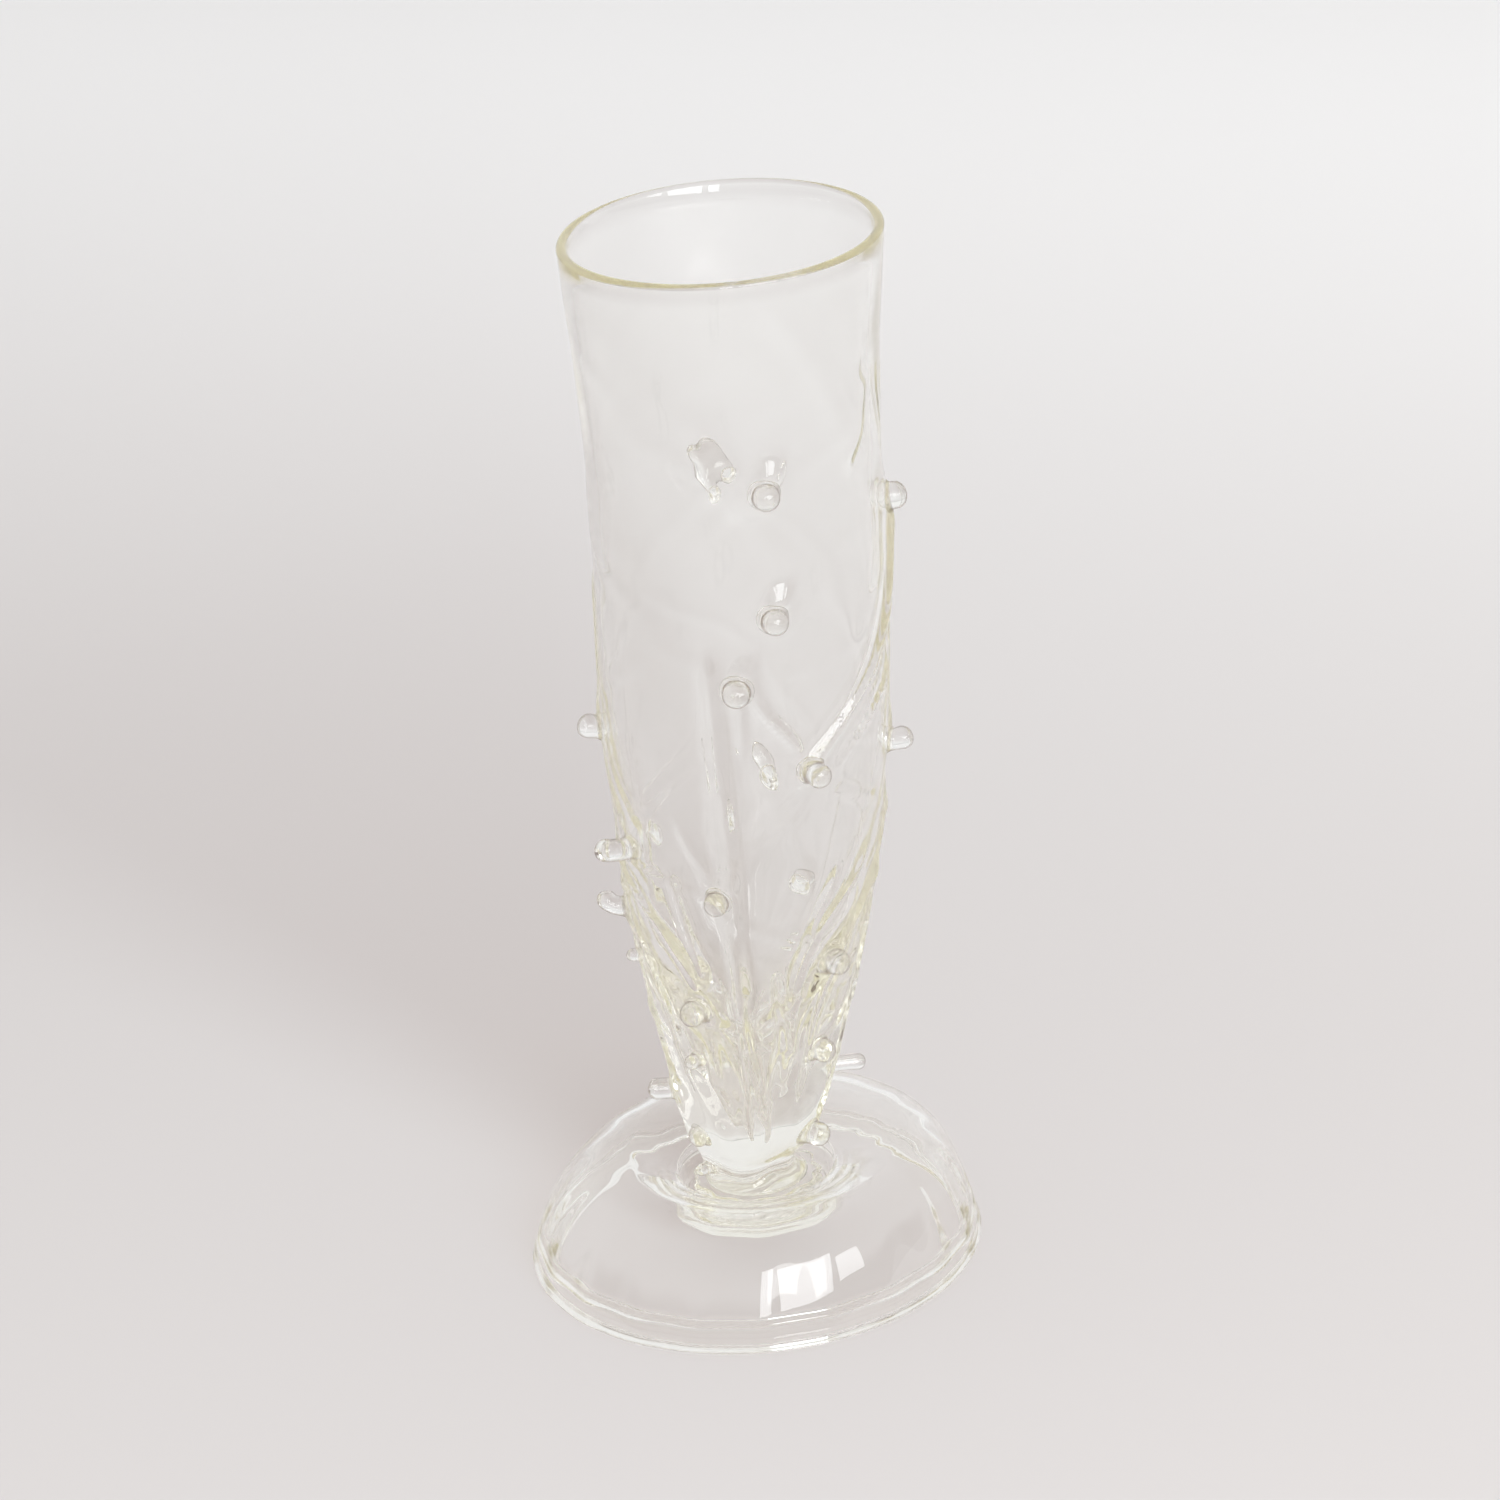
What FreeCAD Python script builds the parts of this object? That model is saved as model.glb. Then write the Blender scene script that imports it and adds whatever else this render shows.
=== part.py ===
import FreeCAD, Part
import math
import os

from FreeCAD import Vector

# A hand-blown flute glass: a ribbed, nipped bowl drawn into a solid neck,
# a lobed collar, a hollow domed foot with a folded rim, and small knobs
# of hot glass set on the bowl where its ribs are pinched together.
# Millimetres, +Z up. The origin is the middle of the foot on the floor.

# Driving dimensions.
total_height = 200.0
mouth_radius = 28.7
lean_at_mouth = 9.4
lip_thickness = 1.9
wall_thickness = 1.5
neck_radius = 7.8
cavity_floor_height = 25.5
rib_height = 1.15
rib_width = 1.9
foot_radius = 42.3
foot_crown_height = 20.8
foot_crown_radius = 25.5
foot_crown_shift = 3.1
foot_seat_height = 11.8
foot_seat_radius = 12.7
foot_wall = 2.0
foot_hem_width = 6.4
foot_hem_height = 4.4
foot_rib_height = 0.42
collar_radius = 11.7
collar_height = 3.0
collar_wave = 0.5
knob_radius = 2.35
knob_length = 4.6
knob_seat_depth = 7.0
knob_seat_reach = 7.5

# Counts.
RIB_COUNT = 8
FOOT_RIB_COUNT = 20
COLLAR_LOBES = 11
BOWL_POLES = 96
FOOT_POLES = 120
COLLAR_POLES = 66
OUTER_RINGS = 60
INNER_RINGS = 34
DOME_RINGS = 18
UNDER_DOME_RINGS = 11

# Angle in degrees from +X where the first rib starts, at the neck and mouth.
FIRST_RIB_ANGLE = -197.5

# Angles at which rings are set over the rounded lip, from its outside in.
LIP_TURNS = (20, 50, 80, 100, 130, 160)

# How many poles to each side, and rings below and above, a knob's seat takes.
SEAT_POLES = 10.0
SEAT_RINGS_BELOW = 4.5
SEAT_RINGS_ABOVE = 4.0

# How square the foot's dome is outwards and upwards, and the height of its
# widest point as a share of the crown's.
foot_out_share = 0.72
foot_up_share = 1.85
foot_low_share = 0.05

# The hollow on top of the foot, from the seat to the crown: the share of its
# depth and of its run that a steep pocket round the collar takes. A gentle
# slope, straight at first and rounded at the crown, takes the rest. The last
# row is where the hollow has its rings, from the crown down.
foot_pocket_depth_share = 0.55
foot_pocket_run_share = 0.13
foot_crown_rounding_share = 0.25
dip_shares = (0.88, 0.74, 0.60, 0.46, 0.32, 0.20, 0.13, 0.09, 0.05, 0.00)

# Under the foot: how much thicker the seat is than the wall, how far out the
# pocket's underside stands, where the flat middle has its rings, how far down
# the dome the inside runs before the hem begins, and how much of the ribs it
# shows. The rim and the crown show a smaller share of them too. The last one
# is the step that gives the dome's slope.
foot_seat_wall_share = 1.3
foot_pocket_wall_share = 0.8
foot_middle_shares = (0.1, 0.3, 0.5, 0.7, 0.9)
foot_inner_stop_share = 0.34
foot_inner_rib_share = 0.5
foot_rim_rib_share = 0.5
foot_crown_rib_share = 0.1
foot_slope_share = 0.01

# The hem's inner side from the dome down to the floor: share of the hem's
# width outwards from its inner edge, share of the hem's height.
hem_shares = (
    (0.20, 0.98), (0.07, 0.86), (0.00, 0.62), (0.01, 0.34), (0.08, 0.10),
    (0.19, 0.00),
)

# The rim's outer side from the floor up to the dome: share of the hem's
# width inwards from the edge, share of the height of the widest point.
rim_shares = ((0.16, 0.00), (0.07, 0.12), (0.01, 0.45))

# Collar from its bottom to its top: share of its height, share of its
# radius, share of the wave in its edge.
collar_shares = (
    (0.00, 0.925, 0.5), (0.03, 0.960, 0.8), (0.14, 0.995, 1.0),
    (0.28, 1.005, 1.0), (0.42, 0.975, 0.9), (0.54, 0.965, 0.9),
    (0.68, 1.000, 1.0), (0.82, 1.010, 1.0), (0.93, 0.985, 0.9),
    (0.99, 0.945, 0.7), (1.00, 0.910, 0.5),
)

# Outer shape of the bowl from neck to mouth: share of the total height,
# share of the mouth radius, share of the lean. The first row is where the
# neck stands on the collar, and all shares of the height start from there.
bowl_shares = (
    (0.074, 0.345, 0.12), (0.078, 0.312, 0.09), (0.083, 0.286, 0.02),
    (0.089, 0.273, -0.05), (0.102, 0.313, -0.01), (0.120, 0.400, 0.08),
    (0.150, 0.462, 0.15), (0.200, 0.540, 0.25), (0.250, 0.618, 0.31),
    (0.300, 0.692, 0.38), (0.360, 0.774, 0.46), (0.425, 0.838, 0.57),
    (0.500, 0.888, 0.65), (0.600, 0.904, 0.74), (0.700, 0.906, 0.83),
    (0.800, 0.909, 0.89), (0.900, 0.940, 0.93), (1.000, 0.998, 1.00),
)

# Height of the slimmest place in the neck, and above it the height at which
# the neck's own radius has no more effect, with the run over which it fades.
neck_slim_share = 0.089
neck_top_share = 0.20
neck_fade_share = 0.12

# How evenly the outer rings are spaced: the even part and the part that
# grows with the height.
even_spacing_share = 0.55
growing_spacing_share = 0.45

# How much further than a round lip its rings reach up and out, so that the
# smooth surface through them has the full size.
lip_rise_share = 1.015
lip_reach_share = 1.06

# The cavity from the lip (0) to its floor (1): where the wall has thinned
# down from the lip, where it begins to thicken again and by how much, where
# the floor begins to close and how far it closes, and how much of the ribs
# shows on the inside.
lip_run_share = 1.0 / 12.0
thickening_start_share = 0.55
thickening_share = 1.6
floor_start_share = 0.86
floor_close_share = 0.985
inner_rib_share = 0.4

# Where ribs cross, their heights add up to this share at most.
rib_stack_share = 1.9

# The ribs' paths run on past the mouth and the neck to these heights.
rib_end_shares = (1.02, 0.06)

# Height of the ribs up the bowl, as a share of the full rib height.
rib_strength_shares = (
    (0.078, 0.00), (0.120, 0.10), (0.240, 0.18), (0.340, 0.26),
    (0.440, 0.28), (0.560, 0.24), (0.700, 0.17), (0.850, 0.10),
    (0.960, 0.04), (1.000, 0.00),
)

# Where neighbouring ribs are pinched together, row by row from the top.
# Each entry is an angle in degrees from +X and a share of the height.
# Ribs 0-1, 2-3, 4-5 and 6-7 meet in the first row, 1-2, 3-4, 5-6 and 7-0
# in the next, and so on down the bowl.
nip_shares = (
    ((-175, 0.955), (-86, 0.948), (4, 0.950), (96, 0.950)),
    ((-131, 0.860), (-44, 0.842), (50, 0.850), (141, 0.858)),
    ((-174, 0.752), (-80, 0.800), (-2, 0.742), (97, 0.730)),
    ((-127, 0.668), (-38, 0.640), (48, 0.630), (139, 0.645)),
    ((-184, 0.548), (-93, 0.622), (0, 0.510), (82, 0.548)),
    ((-152, 0.440), (-65, 0.536), (54, 0.455), (141, 0.395)),
    ((-180, 0.362), (-105, 0.408), (2, 0.420), (81, 0.425)),
    ((-121, 0.292), (-50, 0.328), (58, 0.318), (137, 0.305)),
    ((-176, 0.262), (-92, 0.256), (0, 0.258), (96, 0.250)),
    ((-128, 0.226), (-49, 0.230), (40, 0.208), (132, 0.196)),
    ((-177, 0.172), (-90, 0.170), (10, 0.178), (100, 0.170)),
    ((-142, 0.130), (-38, 0.132), (52, 0.130), (141, 0.126)),
)

# Strands that stand out in the glass: share of the full rib height, then the
# places that the strand passes through from the top down, each an angle and
# a share of the height.
strand_shares = (
    (0.62, ((-3, 0.735), (-6, 0.670), (-28, 0.612), (-48, 0.575), (-72, 0.528))),
    (0.34, ((0, 0.730), (0, 0.520))),
    (0.34, ((-184, 0.690), (-184, 0.550))),
    (0.26, ((-93, 0.620), (-86, 0.550))),
    (0.26, ((-92, 0.620), (-68, 0.540))),
    (0.24, ((-104, 0.650), (-101, 0.536), (-98, 0.387), (-95, 0.290), (-88, 0.130))),
    (0.50, ((-172, 0.440), (-166, 0.412), (-140, 0.384), (-118, 0.320))),
    (0.40, ((-172, 0.410), (-155, 0.341), (-142, 0.278), (-136, 0.215), (-112, 0.130))),
    (0.34, ((-178, 0.370), (-176, 0.300), (-172, 0.222), (-160, 0.140))),
    (0.45, ((-3, 0.465), (-22, 0.386), (-50, 0.317), (-60, 0.250), (-66, 0.140))),
    (0.34, ((-30, 0.425), (-50, 0.386), (-66, 0.350), (-71, 0.290), (-76, 0.150))),
    (0.46, ((-22, 0.405), (-9, 0.303), (-2, 0.226), (-10, 0.154), (-36, 0.110))),
    (0.30, ((-114, 0.265), (-108, 0.201), (-96, 0.130))),
    (0.30, ((152, 0.400), (144, 0.300), (132, 0.200), (112, 0.115))),
    (0.30, ((34, 0.430), (44, 0.300), (58, 0.190), (78, 0.115))),
    (0.22, ((102, 0.520), (97, 0.320), (88, 0.120))),
)

# The run over which a strand fades in and out at its ends.
strand_fade_share = 0.04

# A knob's side: its hidden root in shares of its radius, then its drop from
# the bowl to near the tip, out in shares of its radius and up of its length.
knob_root_shares = ((1.02, -2.05), (1.00, -0.50))
knob_drop_shares = ((0.93, 0.12), (0.90, 0.36), (0.93, 0.62), (0.66, 0.89))

# The knobs: name, angle, height share, size share, length share, and how
# far the knob leans up and round, in degrees.
knob_shares = (
    ("knob_shoulder_front", -80, 0.803, 1.10, 0.95, 5, 0),
    ("knob_shoulder_right", -3, 0.743, 1.14, 0.80, 4, 0),
    ("knob_shoulder_back", 96, 0.708, 0.95, 2.20, 50, 48),
    ("knob_upper_front", -79, 0.686, 1.08, 0.96, 5, 0),
    ("knob_middle_front", -94, 0.622, 1.14, 0.92, 10, 0),
    ("knob_middle_left", 176, 0.538, 1.02, 0.92, 10, 0),
    ("knob_middle_right", -2, 0.506, 0.96, 1.02, 8, 0),
    ("knob_middle_front_right", -66, 0.536, 1.00, 1.00, 0, 0),
    ("knob_middle_back", 77, 0.422, 0.92, 1.70, 44, 48),
    ("knob_waist_front_left", -150, 0.449, 0.96, 1.60, 14, 0),
    ("knob_waist_left", -180, 0.361, 0.84, 1.10, 36, 0),
    ("knob_waist_back_left", 140, 0.393, 0.85, 0.90, 30, 10),
    ("knob_waist_front", -105, 0.416, 0.98, 0.95, 5, 0),
    ("knob_waist_back_right", 62, 0.320, 0.60, 0.70, 20, 0),
    ("knob_lower_front_right", -50, 0.329, 1.08, 0.90, 12, 0),
    ("knob_lower_left", -173, 0.316, 0.54, 0.52, 15, 0),
    ("knob_lower_front_left", -121, 0.291, 1.08, 0.88, 8, 0),
    ("knob_lower_back_right", 56, 0.258, 0.60, 0.75, 20, 0),
    ("knob_base_front_right", -48, 0.231, 1.00, 0.80, 5, 0),
    ("knob_base_front_left", -127, 0.233, 0.62, 0.70, 10, 0),
    ("knob_base_right", 28, 0.204, 0.72, 0.80, 15, 0),
    ("knob_base_back_left", 132, 0.182, 0.78, 0.80, 20, 0),
    ("knob_base_back_right", 10, 0.172, 0.70, 1.55, -4, 0),
    ("knob_base_left", -176, 0.172, 0.92, 1.05, 5, 0),
    ("knob_base_back", 101, 0.186, 0.60, 0.70, 20, 0),
    ("knob_neck_right", -36, 0.131, 1.02, 0.95, 0, 0),
    ("knob_neck_front_left", -141, 0.138, 0.92, 0.55, 0, 0),
    ("knob_neck_left", -146, 0.095, 0.50, 0.72, 10, 0),
)


def blend(table, column, share):
    """Read a table at a share of the height, straight between its rows."""
    if share <= table[0][0]:
        return table[0][column]
    for low, high in zip(table, table[1:]):
        if share <= high[0]:
            part = (share - low[0]) / (high[0] - low[0])
            return low[column] + (high[column] - low[column]) * part
    return table[-1][column]


def eased(part):
    """Turn an even run from 0 to 1 into one that starts and ends softly."""
    part = min(max(part, 0.0), 1.0)
    return part * part * (3.0 - 2.0 * part)


def bowl_height(share):
    """Turn a share of the height into the height above the floor."""
    neck_share = bowl_shares[0][0]
    neck_foot = foot_seat_height + collar_height
    part = (share - neck_share) / (1.0 - neck_share)
    return neck_foot + (total_height - neck_foot) * part


def share_at(height):
    """Turn a height above the floor into a share of the height."""
    neck_share = bowl_shares[0][0]
    neck_foot = foot_seat_height + collar_height
    part = (height - neck_foot) / (total_height - neck_foot)
    return neck_share + (1.0 - neck_share) * part


def rib_path(rib):
    """List the nips that one rib passes through, from top to bottom."""
    path = []
    for row, nips in enumerate(nip_shares):
        index = rib // 2 if row % 2 == 0 else (rib - 1) // 2
        turn = 360.0 * ((index - index % 4) // 4)
        angle, share = nips[index % 4]
        path.append((share, angle + turn))
    start = FIRST_RIB_ANGLE + 360.0 * rib / RIB_COUNT
    top, bottom = rib_end_shares
    return [(top, start)] + path + [(bottom, start)]


def rib_angle(path, share):
    """Find the angle of a rib at a share of the height."""
    for high, low in zip(path, path[1:]):
        if share >= low[0]:
            part = (high[0] - share) / (high[0] - low[0])
            return high[1] + (low[1] - high[1]) * eased(part)
    return path[-1][1]


def strand_angle(path, share):
    """Find the angle of a strand, straight between the places in its path."""
    for (high_angle, high), (low_angle, low) in zip(path, path[1:]):
        if share >= low:
            part = min(1.0, (high - share) / (high - low))
            return high_angle + (low_angle - high_angle) * max(0.0, part)
    return path[-1][0]


def angle_gap(first, second):
    """Return the smallest turn between two angles in degrees."""
    return (first - second + 180.0) % 360.0 - 180.0


def bump(gap, radius):
    """Return the shape of a rib across its width, from 1 down to 0."""
    distance = math.radians(gap) * radius / rib_width
    return math.exp(-distance * distance)


PATHS = [rib_path(rib) for rib in range(RIB_COUNT)]


def relief(angle, share, radius):
    """Add up the ribs that stand on the bowl at one place."""
    strength = blend(rib_strength_shares, 1, share)
    total = 0.0
    for path in PATHS:
        gap = angle_gap(angle, rib_angle(path, share))
        total += strength * bump(gap, radius)
    for height, path in strand_shares:
        top, bottom = path[0][1], path[-1][1]
        fade = eased((share - bottom) / strand_fade_share + 0.5)
        fade *= eased((top - share) / strand_fade_share + 0.5)
        if fade > 0.0:
            centre = strand_angle(path, share)
            total += height * fade * bump(angle_gap(angle, centre), radius)
    return rib_height * min(total, rib_stack_share)


def bowl_radius(share):
    """Return the plain outer radius of the bowl at a share of the height."""
    table = blend(bowl_shares, 1, share) * mouth_radius
    neck = neck_radius - blend(bowl_shares, 1, neck_slim_share) * mouth_radius
    return table + neck * eased((neck_top_share - share) / neck_fade_share)


def bowl_centre(share):
    """Return how far the middle of the bowl has moved towards +X."""
    return blend(bowl_shares, 2, share) * lean_at_mouth


def ring(height, radius_at, centre, count):
    """Make one ring of poles round the part."""
    closing = (4.0 + 2.0 * math.cos(2.0 * math.pi / count)) / 6.0
    poles = []
    for step in range(count):
        angle = 360.0 * step / count
        radius = radius_at(angle) / closing
        x = centre + radius * math.cos(math.radians(angle))
        y = radius * math.sin(math.radians(angle))
        poles.append(Vector(x, y, height))
    return poles


def skin(rings):
    """Run one smooth closed surface through rings of poles."""
    poles = [list(column) for column in zip(*rings)]
    around = len(poles)
    count = len(rings)
    surface = Part.BSplineSurface()
    surface.buildFromPolesMultsKnots(
        poles,
        [1] * (around + 1), [4] + [1] * (count - 4) + [4],
        list(range(around + 1)), list(range(count - 2)),
        True, False, 3, 3)
    return surface


def skin_with_edges(rings):
    """Make a skin's face and give its first and last round edges."""
    surface = skin(rings)
    wall = surface.toShape()
    start = Part.Vertex(surface.value(0.0, surface.bounds()[2]))
    first, last = [edge for edge in wall.Edges if edge.isClosed()]
    if first.distToShape(start)[0] > last.distToShape(start)[0]:
        first, last = last, first
    return wall, first, last


def flat_face(edges, faces_up):
    """Fill a round edge, or the ring between two, with a flat face."""
    face = Part.Face([Part.Wire([edge]) for edge in edges])
    if (face.normalAt(0.0, 0.0).z > 0) != faces_up:
        face.reverse()
    return face


def closed_solid(rings):
    """Close a skin with a flat face at each end and make it a solid."""
    wall, first, last = skin_with_edges(rings)
    ends = [flat_face([first], False), flat_face([last], True)]
    return Part.Solid(Part.Shell([wall] + ends))


def outer_rings():
    """Make the rings of the bowl's outer wall, from the neck up."""
    start = share_at(foot_seat_height + collar_height)
    stop = share_at(total_height - 0.5 * lip_thickness)
    rings = []
    for step in range(OUTER_RINGS):
        part = step / (OUTER_RINGS - 1.0)
        run = even_spacing_share * part + growing_spacing_share * part * part
        share = start + (stop - start) * run
        radius = bowl_radius(share)
        rings.append(ring(
            bowl_height(share),
            lambda a, s=share, r=radius: r + relief(a, s, r),
            bowl_centre(share), BOWL_POLES))
    return rings


def lip_rings():
    """Make the rings that carry the wall over the rounded lip."""
    half = 0.5 * lip_thickness
    middle = bowl_radius(1.0) - half
    rings = []
    for turn in LIP_TURNS:
        rise = half * lip_rise_share * math.sin(math.radians(turn))
        reach = half * lip_reach_share * math.cos(math.radians(turn))
        rings.append(ring(
            total_height - half + rise,
            lambda a, r=middle + reach: r,
            bowl_centre(1.0), BOWL_POLES))
    return rings


def cavity_thickness(part):
    """Return the bowl's wall thickness from the lip down to the floor."""
    thinned = eased(part / lip_run_share)
    wall = lip_thickness + (wall_thickness - lip_thickness) * thinned
    low = eased((part - thickening_start_share) / (1.0 - thickening_start_share))
    return wall + thickening_share * wall_thickness * low


def inner_rings():
    """Make the rings of the bowl's inside, from the lip down."""
    top = share_at(total_height - 0.5 * lip_thickness)
    bottom = share_at(cavity_floor_height)
    rings = []
    for step in range(INNER_RINGS):
        part = step / (INNER_RINGS - 1.0)
        share = top + (bottom - top) * part
        low = max(0.0, (part - floor_start_share) / (1.0 - floor_start_share))
        close = math.sqrt(1.0 - floor_close_share * low * low)
        radius = bowl_radius(share)
        inside = (radius - cavity_thickness(part)) * close
        rings.append(ring(
            bowl_height(share),
            lambda a, s=share, r=inside, c=close, f=radius:
                r + inner_rib_share * c * relief(a, s, f),
            bowl_centre(share), BOWL_POLES))
    return rings


def make_bowl():
    """Make the bowl's surface and its solid."""
    rings = outer_rings() + lip_rings() + inner_rings()
    return skin(rings), closed_solid(rings)


def foot_curve(part):
    """Give radius and height on the dome, from crown (1) to rim (0)."""
    turn = math.radians(90.0 * part)
    low = foot_low_share * foot_crown_height
    out = foot_radius - foot_crown_radius
    radius = foot_crown_radius + out * abs(math.cos(turn)) ** foot_out_share
    height = low + (foot_crown_height - low) * math.sin(turn) ** foot_up_share
    return radius, height


def moved_in(part, depth):
    """Give radius and height at a depth inside the dome's surface."""
    radius, height = foot_curve(part)
    ahead, below = foot_curve(part - foot_slope_share)
    out = ahead - radius
    down = height - below
    run = math.hypot(out, down)
    return radius - depth * down / run, height - depth * out / run


def dip_curve(part, drop):
    """Give radius and height in the hollow, from seat (0) to crown (1)."""
    radius = foot_seat_radius + (foot_crown_radius - foot_seat_radius) * part
    pocket = eased(part / foot_pocket_run_share)
    bend = foot_crown_rounding_share
    slope = (part - bend * part ** (1.0 / bend)) / (1.0 - bend)
    rise = slope + foot_pocket_depth_share * (pocket - slope)
    height = foot_seat_height + (foot_crown_height - foot_seat_height) * rise
    return radius, height - drop


def foot_centre(height, radius):
    """Return how far a ring of the foot has moved along X."""
    crown = foot_crown_shift * (height / foot_crown_height) ** 2
    seat = bowl_centre(0.0)
    inward = eased((foot_crown_radius - radius) / (foot_crown_radius - foot_seat_radius))
    return crown + (seat - crown) * inward


def foot_wave(angle, strength):
    """Return the height of the foot's ribs at an angle."""
    turn = math.radians(angle * FOOT_RIB_COUNT)
    return foot_rib_height * strength * math.cos(turn)


def foot_ring(radius, height, strength):
    """Make one ribbed ring of the foot."""
    return ring(
        height, lambda a: radius + foot_wave(a, strength),
        foot_centre(height, radius), FOOT_POLES)


def foot_under_rings():
    """Make the rings under the dome, from the middle out to the hem."""
    rings = []
    drop = foot_wall * foot_seat_wall_share
    for part in foot_middle_shares:
        rings.append(foot_ring(foot_seat_radius * part, foot_seat_height - drop, 0.0))
    for part in reversed(dip_shares):
        radius, height = dip_curve(part, drop + (foot_wall - drop) * part)
        radius += foot_wall * foot_pocket_wall_share * (1.0 - part) ** 2
        rings.append(foot_ring(radius, height, foot_crown_rib_share * part))
    for step in range(UNDER_DOME_RINGS):
        part = step / (UNDER_DOME_RINGS - 1.0)
        radius, height = moved_in(1.0 - (1.0 - foot_inner_stop_share) * part, foot_wall)
        rings.append(foot_ring(radius, height, foot_inner_rib_share))
    return rings


def foot_hem_rings():
    """Make the rings down the inner side of the folded hem."""
    inside = foot_radius - foot_hem_width
    rings = []
    for out, up in hem_shares:
        height = foot_hem_height * up
        rings.append(foot_ring(inside + foot_hem_width * out, height, out))
    return rings


def foot_over_rings():
    """Make the rings of the dome's outside, from the floor to the seat."""
    low, height = foot_curve(0.0)
    rings = []
    for inward, up in rim_shares:
        radius = low - foot_hem_width * inward
        rings.append(foot_ring(radius, height * up, foot_rim_rib_share))
    for step in range(DOME_RINGS):
        part = step / (DOME_RINGS - 1.0)
        radius, height = foot_curve(part)
        strength = foot_rim_rib_share + (foot_crown_rib_share - foot_rim_rib_share) * part
        rings.append(foot_ring(radius, height, strength))
    for part in dip_shares:
        radius, height = dip_curve(part, 0.0)
        rings.append(foot_ring(radius, height, foot_crown_rib_share * part))
    return rings


def make_foot():
    """Make the domed foot, which rests on the flat ring of its hem."""
    under, middle, inner_edge = skin_with_edges(foot_under_rings() + foot_hem_rings())
    over, outer_edge, seat = skin_with_edges(foot_over_rings())
    faces = [
        under, flat_face([middle], False),
        over, flat_face([seat], True),
        flat_face([outer_edge, inner_edge], False),
    ]
    return Part.Solid(Part.Shell(faces))


def make_collar():
    """Make the lobed collar between the foot and the neck."""
    rings = []
    for up, out, wave in collar_shares:
        rings.append(ring(
            foot_seat_height + collar_height * up,
            lambda a, r=collar_radius * out, w=collar_wave * wave:
                r + w * math.cos(math.radians(a * COLLAR_LOBES)),
            bowl_centre(0.0), COLLAR_POLES))
    return closed_solid(rings)


def knob_blank(size, length):
    """Turn one knob about +Z, its root below zero and its tip up."""
    radius = knob_radius * size
    reach = knob_length * length
    points = [Vector(radius * out, 0, radius * up) for out, up in knob_root_shares]
    points += [Vector(radius * out, 0, reach * up) for out, up in knob_drop_shares]
    points.append(Vector(0, 0, reach))
    curve = Part.BSplineCurve()
    curve.interpolate(
        points, InitialTangent=Vector(0, 0, 1), FinalTangent=Vector(-1, 0, 0))
    root = Vector(0, 0, points[0].z)
    base = Part.makeLine(root, points[0])
    axis = Part.makeLine(points[-1], root)
    face = Part.Face(Part.Wire([base, curve.toShape(), axis]))
    return face.revolve(Vector(0, 0, 0), Vector(0, 0, 1), 360.0)


def knob_direction(angle, lean_up, lean_round):
    """Give the way a knob points."""
    turn = math.radians(angle + lean_round)
    rise = math.radians(lean_up)
    flat = math.cos(rise)
    return Vector(flat * math.cos(turn), flat * math.sin(turn), math.sin(rise))


def seat_cutter(surface, u, v, radius, inward):
    """Make a block of glass whose top is the bowl's own surface."""
    around = knob_seat_reach * BOWL_POLES / (2.0 * math.pi * radius)
    around = min(SEAT_POLES, around)
    patch = surface.copy()
    patch.segment(
        u - around, u + around,
        max(v - SEAT_RINGS_BELOW, 0.0), v + SEAT_RINGS_ABOVE)
    return patch.toShape().extrude(inward * knob_seat_depth)


def make_knob(surface, angle, share, size, length, lean_up, lean_round):
    """Make one knob seated on the outside of the bowl."""
    radius = bowl_radius(share)
    turn = math.radians(angle)
    outward = Vector(math.cos(turn), math.sin(turn), 0)
    near = outward * (radius + relief(angle, share, radius))
    near += Vector(bowl_centre(share), 0, bowl_height(share))
    u, v = surface.parameter(near)
    place = FreeCAD.Placement(
        surface.value(u, v),
        FreeCAD.Rotation(Vector(0, 0, 1), knob_direction(angle, lean_up, lean_round)))
    knob = knob_blank(size, length)
    knob.Placement = place
    solids = knob.cut(seat_cutter(surface, u, v, radius, outward * -1.0)).Solids
    return max(solids, key=lambda solid: solid.Volume)


def build_parts():
    """Make every piece of the glass, by name."""
    surface, bowl = make_bowl()
    pieces = {
        "foot": make_foot(),
        "collar": make_collar(),
        "bowl": bowl,
    }
    for name, *values in knob_shares:
        pieces[name] = make_knob(surface, *values)
    return pieces


def main():
    """Write one STEP file for each piece."""
    os.makedirs("parts", exist_ok=True)
    for name, shape in build_parts().items():
        shape.exportStep("parts/" + name + ".step")


main()
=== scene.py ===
"""Dress a hand-blown flute glass: bowl, knobs, collar and foot on a pale floor.

The glass's sizes are in millimetres and the studio's in metres, in the frame of
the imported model: +Z up, the origin in the middle of the foot on the floor, the
bowl leaning a little towards +X.
"""

import logging
import math
from dataclasses import dataclass, field
from enum import Enum
from typing import Optional, Sequence, Union

import bpy
import numpy as np
from mathutils import Matrix, Vector


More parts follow.
